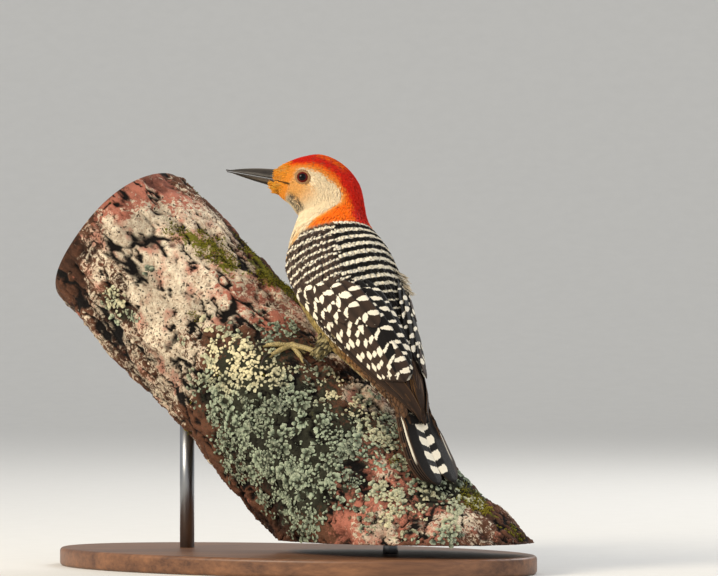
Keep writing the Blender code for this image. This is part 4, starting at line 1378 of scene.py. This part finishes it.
def layer(tree, below, above, field, low, high, fray, strength):
    """Lays one colour over another where a frayed field passes a level. A colour is a hex value or a node."""
    rough = add_node(tree, "Math", fray, strength, field, operation="MULTIPLY_ADD")
    shown = add_node(tree, "MapRange", rough, low, high)
    below, above = (rgba(colour) if isinstance(colour, str) else colour for colour in (below, above))
    return add_node(tree, "Mix", shown, data_type="RGBA", _6=below, _7=above)


def bark_material():
    made, tree, shader = start_material("lichened_bark", Roughness=0.92, Specular_IOR_Level=0.2)
    where = add_node(tree, "TexCoord").outputs["Object"]
    fields, relief = (add_node(tree, "Attribute", attribute_name=key).outputs["Vector"]
                      for key in ("fields", "relief"))
    crust_field, leaf_field, rosy_field = add_node(tree, "SeparateXYZ", fields).outputs
    crack, tone_field, height = add_node(tree, "SeparateXYZ", relief).outputs
    moss = add_node(tree, "Attribute", attribute_name="moss").outputs["Fac"]
    fine = add_node(tree, "TexNoise", where, Scale=1000.0, Detail=3.0, Roughness=0.7)
    mid = add_node(tree, "TexNoise", where, Scale=330.0, Detail=5.0, Roughness=0.7)
    broad = add_node(tree, "TexNoise", where, Scale=90.0, Detail=4.0)
    tone = add_node(tree, "Math", mid, 0.9, tone_field, operation="MULTIPLY_ADD")
    brown = layer(tree, "#1B110C", "#63412F", tone, 0.60, 1.30, fine, 0.35)
    fresh = layer(tree, "#4F2419", "#B4705C", tone, 0.60, 1.25, fine, 0.45)
    cork = layer(tree, brown, fresh, rosy_field, 0.98, 1.12, mid, 0.90)
    crust = layer(tree, "#94735A", "#F2E2C6", mid, 0.50, 0.86, fine, 0.50)
    crust = layer(tree, crust, "#C58B76", broad, 0.66, 0.82, fine, 0.25)
    cups = add_node(tree, "TexNoise", where, Scale=720.0, Detail=2.0, Distortion=0.6)
    speck = add_node(tree, "MapRange", cups, 0.40, 0.35)
    crust = add_node(tree, "Mix", speck, data_type="RGBA", _6=crust, _7=rgba("#2B2019"))
    broken = add_node(tree, "TexNoise", where, Scale=230.0, Detail=6.0, Roughness=0.75, Distortion=1.2)
    crusted = layer(tree, cork, crust, crust_field, 1.21, 1.28, broken, 1.30)
    # Painted shade: the ground under leafy lichen is painted nearly black, as the shade in the gaps between
    # the lobes.
    leaf = layer(tree, "#14120D", "#3A3A2C", mid, 0.40, 0.90, fine, 0.4)
    leafy = layer(tree, crusted, leaf, leaf_field, 0.92, 1.04, mid, 0.85)
    green = layer(tree, "#22240C", "#6E6B20", mid, 0.40, 0.80, fine, 0.45)
    mossy = layer(tree, leafy, green, moss, 0.98, 1.06, mid, 0.90)
    # Painted shade: the cracks are painted near black, and low places of the relief are darkened by their
    # depth.
    crack_shaded = layer(tree, mossy, "#120C09", crack, 0.45, 1.05, fine, 0.35)
    depth_shade = add_node(tree, "MapRange", height, -2.4, 0.6, 0.40, 1.0)
    shaded = add_node(tree, "VectorMath", crack_shaded, operation="SCALE", Scale=depth_shade)
    both = add_node(tree, "Math", mid, 1.6, fine, operation="MULTIPLY_ADD")
    bump = add_node(tree, "Bump", Height=both, Strength=0.9, Distance=0.0009)
    feed(tree, shader, Base_Color=shaded, Normal=bump)
    return made


# %% Sawn wood material
def sawn_wood_material():
    """End grain: pale rings round the pith, darker at the rim, with fine cracks that run outwards, painted
    dark as the shade in them.
    """
    made, tree, shader = start_material("sawn_end_grain", Roughness=0.75, Specular_IOR_Level=0.3)
    ring = add_node(tree, "Attribute", attribute_name="end_grain").outputs["Vector"]
    from_pith, crack, _ = add_node(tree, "SeparateXYZ", ring).outputs
    where = add_node(tree, "TexCoord").outputs["Object"]
    drift = add_node(tree, "TexNoise", where, Scale=60.0, Detail=5.0)
    pores = add_node(tree, "TexNoise", where, Scale=1500.0, Detail=2.0)
    turn = add_node(tree, "Math", drift, 9.0, from_pith, operation="MULTIPLY_ADD")
    year = add_node(tree, "Math", turn, YEAR_RING, operation="PINGPONG")
    wood = layer(tree, "#CDAA7C", "#A07A50", year, 0.35, 1.5, pores, 0.9)
    stain = add_node(tree, "TexNoise", where, Scale=38.0, Detail=4.0)
    wood = layer(tree, wood, "#8A6A49", stain, 0.66, 0.95, pores, 0.25)
    heart = layer(tree, "#7A4E30", wood, from_pith, 8.0, 26.0, drift, 14.0)
    bark = layer(tree, heart, "#2E1C13", from_pith, 43.6, 44.4, pores, 1.0)
    # painted shade: the drying cracks are painted dark
    split = layer(tree, bark, "#2A1A10", crack, 0.62, 0.75, pores, 0.2)
    bump = add_node(tree, "Bump", Height=year, Strength=0.25, Distance=0.0004)
    feed(tree, shader, Base_Color=split, Normal=bump)
    return made


BARK, END_GRAIN = bark_material(), sawn_wood_material()


# %% The limb as one mesh
END_STEPS = 16  # rings of faces from the bark to the pith on a sawn end
# drying cracks: degrees round the end, share of the way in
CHECKS = ((14.0, 0.98), (47.0, 0.35), (71.0, 0.55), (104.0, 0.80), (139.0, 0.28), (166.0, 0.62),
          (190.0, 0.40), (231.0, 0.72), (262.0, 0.30), (297.0, 0.50), (338.0, 0.34))


def limb_mesh():
    """Points, faces, fields, relief, end grain and moss of the whole limb, with its sawn upper end."""
    angles = np.arange(LIMB_SIDES) * 360 / LIMB_SIDES
    share, degrees = np.meshgrid(np.linspace(0, LIMB_END, LIMB_RINGS), angles, indexing="ij")
    height, crack, tone, (crust, leafy, moss, rosy) = bark_relief(share, degrees)
    height = flattened_near_feet(share, degrees, height)
    worn = ease(0.0, 0.012, share)
    height = height * worn - 0.8 * (1 - worn)
    points = limb_point(share, degrees, height).reshape(-1, 3)
    fields = np.stack([crust, leafy, rosy], axis=-1).reshape(-1, 3)
    relief = np.stack([crack, tone, height], axis=-1).reshape(-1, 3)
    end_grain = np.broadcast_to((48.0, 0.0, 0.0), points.shape)
    faces = tube_faces(LIMB_RINGS, LIMB_SIDES)
    faces.pop(-2)
    first = points[:LIMB_SIDES]
    pith = first.mean(axis=0) + (2.0, 1.0, -3.0)
    rings, grains = [], []
    start = len(points)
    for k in range(1, END_STEPS + 1):
        inward = k / END_STEPS * 0.995
        split = sum(np.exp(-(((angles - at - 3 * np.sin(7 * inward + at) + 180) % 360 - 180) / 0.75) ** 2)
                    * ease(reach, reach - 0.3, inward) for at, reach in CHECKS)
        sunk = 0.35 * rough_noise(first * (1 - inward), 3.0, 161, 2) + 0.9 * split
        rings.append(first + (pith - first) * inward + limb_frame(0.0)[1] * sunk[:, None])
        far = np.linalg.norm((pith - first) * (1 - inward), axis=-1)
        grains.append(np.stack([far, split, 0 * far], axis=-1))
        inner = start + (k - 1) * LIMB_SIDES
        outer = 0 if k == 1 else inner - LIMB_SIDES
        for j in range(LIMB_SIDES):
            n = (j + 1) % LIMB_SIDES
            faces.append((outer + n, outer + j, inner + j, inner + n))
    faces.append(tuple(range(inner, inner + LIMB_SIDES))[::-1])
    spare = np.zeros((END_STEPS * LIMB_SIDES, 3))
    return (np.vstack([points, *rings]), faces, np.vstack([fields, spare]), np.vstack([relief, spare]),
            np.vstack([end_grain, *grains]), np.concatenate([moss.ravel(), spare[:, 0]]))


# %% Saw the limb flat underneath
def add_limb():
    points, faces, fields, relief, end_grain, moss = limb_mesh()
    limb = add_piece("limb", points, faces, BARK, "bark", ("perch_limb",), vectors={
        "fields": fields, "relief": relief, "end_grain": end_grain}, floats={"moss": moss})
    limb.data.materials.append(END_GRAIN)
    bark_faces = (LIMB_RINGS - 1) * LIMB_SIDES
    sawn = np.arange(len(limb.data.polygons)) > bark_faces
    limb.data.polygons.foreach_set("material_index", sawn.astype(np.int32))
    select_only(limb)
    bpy.ops.object.mode_set(mode="EDIT")
    bpy.ops.mesh.select_all(action="SELECT")
    bpy.ops.mesh.normals_make_consistent(inside=False)
    bpy.ops.mesh.bisect(plane_co=(0, 0, LIMB_FOOT_Z * MM), plane_no=(0, 0, 1), use_fill=True,
                        clear_inner=True)
    bpy.ops.object.mode_set(mode="OBJECT")
    for face in limb.data.polygons:
        if face.normal.z < -0.99 and abs(face.center.z - LIMB_FOOT_Z * MM) < 1e-5:
            face.material_index = 1
            face.use_smooth = False
    print("limb:", len(limb.data.polygons), "faces after the saw cut")


add_limb()


# %% [markdown]
# ## Legs and claws
#
# A woodpecker holds on with two toes ahead and two behind. Its tarsus wears a row of shields in front and
# small grains behind, each toe has the same shields on top and soft pads below, and the claws are long, deep
# and hooked. Each part is a tube along its own path whose radius steps at every shield.

# %% Toes, tarsi and claws
# toe heading from up the limb in degrees, toe and claw length
TOES = ((56.0, 15.0, 10.0), (84.0, 14.0, 11.5), (178.0, 12.0, 9.0), (212.0, 8.0, 6.5))
TOE_RADIUS, PALM_RADIUS, SHANK_RADIUS = 1.3, 2.1, 1.45
CLAW_TURN = 13.0  # how far a front claw swings down round the limb, in degrees seen from the heel
TOE_HEIGHT = 1.55  # middle of a toe over the bark
SHIELD = 1.15  # length of one scale
TUBE_SIDES = 16
LEG_SKIN = bare_skin("leg_skin", "#50452A", "#C2AC70", 0.55, 1500.0)


def on_bark(foot, heading, distance, height):
    """A place at a distance from the foot, on a heading from up the limb, over the bark."""
    along, aside = math.cos(math.radians(heading)), math.sin(math.radians(heading))
    share = foot[0] - distance * along / LIMB_LENGTH
    return limb_point(share, foot[1] - np.degrees(distance * aside / np.mean(LIMB_RADII)), height)


def tube(path, across, upright, up, tip=0.0):
    """A closed tube of given half widths and half heights; returns points, faces."""
    along = unit(np.gradient(path, axis=0))
    side = unit(np.cross(along, up))
    over = np.cross(side, along)
    angle = np.arange(TUBE_SIDES) * 2 * math.pi / TUBE_SIDES
    across, upright = across.reshape(len(path), -1), upright.reshape(len(path), -1)
    rings = path[:, None] + side[:, None] * (across * np.cos(angle))[..., None]
    rings = rings + over[:, None] * (upright * np.sin(angle))[..., None]
    ends = np.stack([path[0] - along[0] * across[0].mean() * 0.5, path[-1] + along[-1] * tip])
    points = np.vstack([rings.reshape(-1, 3), ends])
    faces = tube_faces(len(path), TUBE_SIDES)[:-2]
    first, last = len(points) - 2, len(points) - 1
    base = (len(path) - 1) * TUBE_SIDES
    for j in range(TUBE_SIDES):
        n = (j + 1) % TUBE_SIDES
        faces += [(first, n, j), (last, base + j, base + n)]
    return points, faces


def shielded(path, radius, belly):
    """Half widths and heights of a scaly tube: steps on top, pads below."""
    shields = lengths_along(path)[:, None] / SHIELD
    over = np.sin(np.arange(TUBE_SIDES) * 2 * math.pi / TUBE_SIDES)
    step = 1 + 0.10 * (shields % 1.0 - 0.5) * np.maximum(over + 0.3, 0)
    pads = 1 + belly * np.abs(np.sin(shields * 1.2)) * np.maximum(-over, 0)
    return radius[:, None] * step * pads


def joined(parts):
    """Several meshes as one: each part is (points, faces)."""
    points, faces, start = [], [], 0
    for part, rim in parts:
        points.append(part)
        faces += [tuple(k + start for k in face) for face in rim]
        start += len(part)
    return np.vstack(points), faces


# %% Both legs
def leg_parts(side):
    along, around, heel, knee, turn = LEG_PLACES[side]
    foot, heel, knee = (np.array(along), around), np.array(heel), np.array(knee)
    palm = on_bark(foot, 0, 0, 0.5 + PALM_RADIUS * 0.9)
    up = unit(palm - limb_frame(foot[0])[0])
    toes, claws = [], []
    for number, (heading, length, claw) in enumerate(TOES):
        way = heading * turn
        t = np.linspace(0, 1, int(length / SHIELD * 8))
        height = TOE_HEIGHT + 0.9 * (1 - t) ** 3 + 0.7 * np.sin(t * math.pi) ** 2
        path = np.array([on_bark(foot, way, d, h) for d, h in zip(t * length, height)])
        radius = TOE_RADIUS * (1.12 - 0.32 * t + 0.10 * np.cos(4 * math.pi * t))
        size = shielded(path, radius, 0.16)
        toes.append(tube(path, size, size, up, 0.7))
        t = np.linspace(0, 1, 18)
        height = TOE_HEIGHT + 0.1 + 3.4 * np.sin(t * 2.5) * (1 - 0.35 * t) - 3.2 * t**2.2
        hook = way + turn * CLAW_TURN * t**2 * (number < 2)
        away = length - 0.9 + claw * 0.82 * t
        path = np.array([on_bark(foot, w, d, h) for w, d, h in zip(hook, away, height)])
        taper = (1 - t) ** 0.75
        claws.append(tube(path, 0.72 * taper + 0.07, 1.15 * taper + 0.09, up, 0.3))
    t = np.linspace(0, 1, 120)[:, None]
    bend = (np.sin(t[:, 0] * math.pi) * 0.6)[:, None]
    path = heel + (palm - heel) * t + unit(np.cross(palm - heel, FRONT)) * bend
    swell = 1 + 0.30 * np.exp(-(t[:, 0] / 0.10) ** 2) + 0.35 * ease(0.82, 1.0, t[:, 0])
    size = shielded(path, SHANK_RADIUS * swell, 0.04)
    shank = tube(path, size, size, FRONT, 0.8)
    t = np.linspace(0, 1, 24)[:, None]
    path = heel + (knee - heel) * (t * 0.7 - 0.04)
    size = (SHANK_RADIUS * 1.25 + 1.1 * t[:, 0])[:, None] * np.ones(TUBE_SIDES)
    drum = tube(path, size, size, FRONT, 0.5)
    return joined([*toes, shank, drum]), joined(claws)


def claw_grain(count):
    """Runs lengthways and round every claw, for the streaks of the horn."""
    ring, place = np.divmod(np.arange(count), TUBE_SIDES)
    return np.stack([ring * 0.5, place * 2 * math.pi / TUBE_SIDES, 0.0 * ring], axis=-1)


for leg_side in ("left", "right"):
    skin_parts, horn_parts = leg_parts(leg_side)
    facing_out(f"leg_{leg_side}", *skin_parts, LEG_SKIN, "scaly_skin",
               replaced=(f"foot_{leg_side}", f"shank_{leg_side}"))
    facing_out(f"claws_{leg_side}", *horn_parts, CLAW_HORN, "bill_horn",
               replaced=tuple(f"claw_{leg_side}_{number}" for number in range(1, 5)),
               vectors={"grain": claw_grain(len(horn_parts[0]))})


# %% [markdown]
# The leg above the tarsus is hidden in short loose feathers that hang to the heel. The bill's root is hidden
# too: stiff tufts lie forward over the nostrils, and fine bristles reach forward under the chin. Over the
# right wing a pale tuft of down is ruffled up. All are the same closed leaf, set free of the body's rows.

# %% Thigh feathers, bristles and ruffled down
def free_leaves(name, roots, ways, outward, length, width, seed, shades, slot, place, curl):
    """Small feathers that stand free of the body's own rows. Way and outward are directions at each root."""
    rng = np.random.default_rng(seed)
    count = len(roots)
    length = (length * rng.uniform(0.75, 1.2, count))[:, None, None]
    ways = unit(ways + rng.normal(0, 0.16, (count, 3)))
    at = LEAF_STATIONS[None, :, None]
    lift = (at**1.6 * curl * length) * rng.uniform(-0.4, 1.0, (count, 1, 1)) + 0.15 * at
    paths = roots[:, None] + ways[:, None] * at * length + outward[:, None] * lift
    widths = np.full((count, 1), width) * LEAF_OUTLINE * rng.uniform(0.8, 1.2, (count, 1))
    facing = np.broadcast_to(outward[:, None], paths.shape)
    points, faces = leaves(paths, facing, widths, LEAF_COLUMNS, LEAF_THICKNESS, 0.08)
    ground = np.array([linear(code) for code in shades])[rng.integers(0, len(shades), count)][:, None]
    ground = ground * rng.uniform(0.8, 1.15, (count, 1, 1)) * (0.6 + 0.4 * at)
    zero = np.zeros(ground.shape[:2])
    finish_leaves(name, points, faces, ground, ground, zero, zero, widths, (at * length)[..., 0],
                  LEAF_COLUMNS, bake_map(*place, points.shape, LEAF_COLUMNS), COVERT_KERATIN, slot)


# %% Where the loose feathers grow
def add_thigh_feathers(side):
    heel, knee = (np.array(value) for value in LEG_PLACES[side][2:4])
    bone = knee - heel
    rng = np.random.default_rng(71 if side == "left" else 72)
    count = 620
    t = rng.uniform(0.12, 1.05, count)
    angle = rng.uniform(0, 2 * math.pi, count)
    across = unit(np.cross(bone, FRONT))
    other = unit(np.cross(bone, across))
    outward = across * np.cos(angle)[:, None] + other * np.sin(angle)[:, None]
    radius = np.interp(t, (0, 0.33, 0.66, 1.0), (2.1, 3.3, 5.6, 7.6))
    roots = heel + bone * t[:, None] + outward * radius[:, None]
    ways = np.broadcast_to(unit(-bone), roots.shape) - outward * 0.22
    free_leaves(f"thigh_feathers_{side}", roots, ways, outward, 5.2, 0.85, 73,
                ("#8C7D52", "#6B603F", "#4A4332", "#A3966B"), "cream_plumage", (angle, t), 0.10)


def add_tuft(name, section, degrees, out, rise, ahead, length, width, seed, shades, slot, curl):
    """Loose feathers rooted at given places; rise and ahead are how far they point out and to the tail."""
    forward, _, outward = surface_frame(body_point, section, degrees)
    ways = outward * rise + unit(forward) * ahead
    free_leaves(name, body_point(section, degrees, out), ways, outward, length, width, seed, shades, slot,
                (degrees, section), curl)


def add_bristles():
    rng = np.random.default_rng(81)
    count = 1100
    section = rng.uniform(0.20, 1.6, count)
    degrees = np.sign(rng.uniform(-1, 1, count)) * rng.uniform(25, 140, count)
    off_gape = np.abs(np.abs(degrees) - 103) > 5
    add_tuft("nasal_tufts", section[off_gape], degrees[off_gape], -0.4, 0.02, -1.0, 2.8, 0.15, 83,
             ("#EE9A22", "#F0A83A", "#E58A1A", "#D9A050"), "red_plumage", 0.06)
    count = 300
    section = rng.uniform(-0.1, 1.1, count)
    add_tuft("chin_bristles", section, 180 + rng.uniform(-62, 62, count), -0.3, 0.55, -0.95, 3.9, 0.10, 85,
             ("#EE9F28", "#F5BC4C", "#D98E24"), "red_plumage", 0.12)


def add_rump_tuft():
    """A ruffled tuft of pale down that stands out over the right wing."""
    rng = np.random.default_rng(91)
    count = 90
    section = rng.uniform(10.0, 10.7, count)
    degrees = rng.uniform(-48, -32, count)
    out = wing_rise(section, wing_share(section, degrees)) - 0.5
    add_tuft("rump_tuft", section, degrees, out, 0.50, 0.86, 5.4, 0.66, 93, ("#F7EEDB", "#EADBC0", "#D3C0A0"),
             "cream_plumage", 0.12)


for thigh_side in ("left", "right"):
    add_thigh_feathers(thigh_side)
add_bristles()
add_rump_tuft()


# %% [markdown]
# ## Lichen and moss
#
# Leafy lichen grows outward in rosettes of lobes one to three millimetres long, lifted off the bark and
# crinkled. Moss stands in the cracks as cushions of tiny shoots. Both are small solid leaves set where the
# growth fields are strongest, so they sit on the patches that the bark is painted with. In some patches lobes
# and shoots are painted pale, cream and yellow, as sunlight. The lichen is two pieces, one of larger and one
# of smaller lobes.

# %% Leafy lichen and moss shoots
GROWTH_COLUMNS = np.array([-1.0, -0.4, 0.4, 1.0])
GROWTH_AT = np.array([0.0, 0.35, 0.7, 1.0])
GROWTH_OUTLINE = np.array([0.45, 0.8, 1.05, 0.75])
GROWTH_SPAN = (0.004, 0.775)  # shares along the limb, clear of both saw cuts
GROWTH_FROM_FOOT = 11.0


def bark_place(share, degrees):
    height = bark_relief(share, degrees)[0]
    return limb_point(share, degrees, flattened_near_feet(share, degrees, height))


def bark_frame(share, degrees):
    centre = limb_frame(share)[0]
    base = limb_point(share, degrees)
    outward = unit(base - centre)
    down = unit(limb_point(share + 0.004, degrees) - base)
    return outward, down, np.cross(outward, down)


def growing_places(kind, count, seed, level):
    """Random places on the bark where one of the fields is strong, clear of the bird and the saw cut."""
    rng = np.random.default_rng(seed)
    share, degrees = rng.uniform(*GROWTH_SPAN, count * 40), rng.uniform(0, 360, count * 40)
    field = growth(share, degrees)[kind] + rng.normal(0, 0.02, len(share))
    gaps = rough_noise(unrolled(share, degrees), 9, seed, 3)
    keep = np.flatnonzero((field > level) & (gaps > 0.44))[:count]
    share, degrees = share[keep], degrees[keep]
    clear = bark_place(share, degrees)[:, 2] > LIMB_FOOT_Z + 1.5
    for along, around, *_ in LEG_PLACES.values():
        foot = limb_point(np.array(along), np.array(around))
        clear &= np.linalg.norm(limb_point(share, degrees) - foot, axis=-1) > GROWTH_FROM_FOOT
    return share[clear], degrees[clear]


# %% Rosettes of leaves
def add_growth(name, kind, level, count, lobes, spread, seed, length, width, lift, material):
    """Rosettes of leaves: every one has `lobes` leaves that point away from its middle."""
    share, degrees = growing_places(kind, count, seed, level)
    rng = np.random.default_rng(seed + 1)
    clump = np.repeat(np.arange(len(share)), lobes)
    share, degrees = share[clump], degrees[clump]
    turn = rng.uniform(0, 2 * math.pi, len(clump))
    far = spread * rng.uniform(0.1, 1.0, len(clump)) ** 0.6
    share = share + far * np.cos(turn) / LIMB_LENGTH
    degrees = degrees + np.degrees(far * np.sin(turn) / LIMB_MEAN_RADIUS)
    roots = bark_place(share, degrees)
    outward, down, round_way = bark_frame(share, degrees)
    turn = (turn + rng.normal(0, 0.5, len(turn)))[:, None]
    way = down * np.cos(turn) + round_way * np.sin(turn)
    size = length * rng.uniform(0.6, 1.3, len(roots))[:, None, None]
    rise = rng.uniform(0.1, 1.0, len(roots))[:, None, None] * lift
    at = GROWTH_AT[None, :, None]
    paths = roots[:, None] - outward[:, None] * 0.25 + way[:, None] * at * size
    paths = paths + outward[:, None] * (at * rise + 0.18 * size * np.sin(at * math.pi))
    widths = width * rng.uniform(0.6, 1.3, (len(roots), 1)) * GROWTH_OUTLINE
    tilt = round_way[:, None] * rng.normal(0, 0.35, rise.shape)
    facing = unit(outward[:, None] - way[:, None] * rise * 0.5 + tilt)
    points, faces = leaves(paths, facing, widths, GROWTH_COLUMNS, LEAF_THICKNESS, 0.12)
    crinkle = (soft_noise(points, width * 0.9, seed + 2) - 0.5) * width * 0.9
    points = points + outward[:, None, None] * crinkle[..., None]
    patch = rng.uniform(-0.1, 1.1, len(share) // lobes + 1)[clump] * 0.8
    tone = patch + rng.uniform(-0.1, 0.3, len(clump))
    # painted sunlight: how strongly each lobe or shoot is painted pale as lit
    sunlit_share = zone_sum(CREAM_ZONES, share, degrees) + 0.7 * rough_noise(unrolled(share, degrees), 14, seed + 3, 3)
    lobe = np.broadcast_arrays(tone[:, None, None], GROWTH_AT[None, :, None], sunlit_share[:, None, None], crinkle)[:3]
    made = add_piece(name, points.reshape(-1, 3), faces, material, "bark",
                     vectors={"lobe": np.stack(lobe, axis=-1)})
    made.data.shade_flat()


# %% Lichen and moss
def growth_material(name, dark, light, tip, sunlit_colour):
    """Matt leaves, dark at the root, with a pale tip; in patches of painted sunlight they turn to a pale
    colour.
    """
    made, tree, shader = start_material(name, Roughness=0.85, Specular_IOR_Level=0.2)
    lobe = add_node(tree, "Attribute", attribute_name="lobe").outputs["Vector"]
    tone, out, sunlit_share = add_node(tree, "SeparateXYZ", lobe).outputs
    where = add_node(tree, "TexCoord").outputs["Object"]
    grit = add_node(tree, "TexNoise", where, Scale=1400.0, Detail=2.0)
    shade = layer(tree, dark, light, tone, 0.1, 1.2, grit, 0.4)
    ended = layer(tree, shade, tip, out, 0.80, 1.9, grit, 0.5)
    # painted sunlight: the pale colour laid over the lit patches
    old = layer(tree, ended, sunlit_colour, sunlit_share, 0.76, 1.20, grit, 0.3)
    rooted = layer(tree, dark, old, out, 0.25, 0.75, grit, 0.4)
    feed(tree, shader, Base_Color=rooted)
    return made


# the last colour of each is painted sunlight on lobes and shoots
LICHEN = growth_material("leafy_lichen", "#2A2E22", "#94A086", "#CDD0B4", "#DED2A8")
MOSS = growth_material("moss_shoots", "#2B2C0C", "#6F6A1C", "#B9AE38", "#A79430")
# name, field, its level, rosettes, lobes in each, spread, seed, length, width, lift, material
add_growth("lichen_lobes_large", 1, 0.47, 430, 9, 3.0, 201, 2.7, 1.15, 0.9, LICHEN)
add_growth("lichen_lobes_small", 1, 0.49, 560, 8, 1.9, 205, 1.8, 0.75, 0.8, LICHEN)
add_growth("moss", 2, 0.48, 460, 10, 1.3, 203, 1.0, 0.20, 1.6, MOSS)


# %% [markdown]
# ## The stand
#
# The stand is museum plain: an oval board of oiled wood with a rounded edge, and two steel rods that end in
# the limb. The frame's own solids are faceted, so finer ones of the same size take their place.

# %% Board and rods
BASE_HALF_LENGTH, BASE_HALF_WIDTH, BASE_THICKNESS = 146.0, 84.0, 10.0
BASE_TURN = math.radians(-33.0)
BASE_ROUND = 2.0
# where each rod stands, and the height of its top
RODS = {"stand_rod_high": (-60.0, 41.0, 88.0), "stand_rod_low": (52.0, -32.0, 22.0)}
ROD_RADIUS, ROD_FOOT = 4.0, 5.0


def stand_materials():
    """Wood with its grain along the board, and steel rod drawn lengthways."""
    wood, tree, shader = start_material("oiled_board", Roughness=0.42, Specular_IOR_Level=0.45)
    where = add_node(tree, "TexCoord").outputs["Object"]
    turned = add_node(tree, "Mapping", where, Rotation=(0.0, 0.0, -BASE_TURN), Scale=(0.07, 1.0, 1.0))
    grain = add_node(tree, "TexNoise", turned, Scale=420.0, Detail=6.0, Roughness=0.7)
    wide = add_node(tree, "TexNoise", turned, Scale=60.0, Detail=3.0, Distortion=1.2)
    tone = add_node(tree, "Math", wide, 1.1, grain, operation="MULTIPLY_ADD")
    shade = add_node(tree, "MapRange", tone, 0.75, 1.35)
    colour = add_node(tree, "Mix", shade, data_type="RGBA", _6=rgba("#4C3020"), _7=rgba("#8A5E3E"))
    bump = add_node(tree, "Bump", Height=grain, Strength=0.12, Distance=0.0004)
    feed(tree, shader, Base_Color=colour, Normal=bump)
    steel, tree, shader = start_material("brushed_steel", Base_Color=rgba("#8E9093"), Metallic=1.0)
    where = add_node(tree, "TexCoord").outputs["Object"]
    drawn = add_node(tree, "Mapping", where, Scale=(1.0, 1.0, 0.04))
    lines = add_node(tree, "TexNoise", drawn, Scale=3000.0, Detail=2.0)
    feed(tree, shader, Roughness=add_node(tree, "MapRange", lines, To_Min=0.28, To_Max=0.42))
    return wood, steel


BOARD_WOOD, ROD_STEEL = stand_materials()


# %% Add the board and the rods
def apply_placement(piece):
    select_only(piece)
    bpy.ops.object.transform_apply(location=True, rotation=True, scale=True)


def add_board():
    bpy.ops.mesh.primitive_cylinder_add(vertices=192, radius=1.0, depth=BASE_THICKNESS * MM,
                                        location=(0, 0, BASE_THICKNESS * MM / 2), rotation=(0, 0, BASE_TURN))
    board = bpy.context.object
    board.name = "board"
    board.scale = (BASE_HALF_LENGTH * MM, BASE_HALF_WIDTH * MM, 1.0)
    apply_placement(board)
    apply_modifier(board, "BEVEL", width=BASE_ROUND * MM, segments=4, limit_method="ANGLE")
    board.data.materials.append(BOARD_WOOD)
    bpy.ops.object.shade_smooth()
    apply_modifier(board, "WEIGHTED_NORMAL")
    adopt(board, ("stand_base",))


def add_rod(node, place):
    x, y, top = place
    bpy.ops.mesh.primitive_cylinder_add(vertices=48, radius=ROD_RADIUS * MM, depth=(top - ROD_FOOT) * MM,
                                        location=(x * MM, y * MM, (top + ROD_FOOT) * MM / 2))
    rod = bpy.context.object
    rod.name = node.replace("stand_", "")
    apply_placement(rod)
    rod.data.materials.append(ROD_STEEL)
    for face in rod.data.polygons:
        face.use_smooth = abs(face.normal.z) < 0.5
    adopt(rod, (node,))


add_board()
for rod_node, rod_place in RODS.items():
    add_rod(rod_node, rod_place)
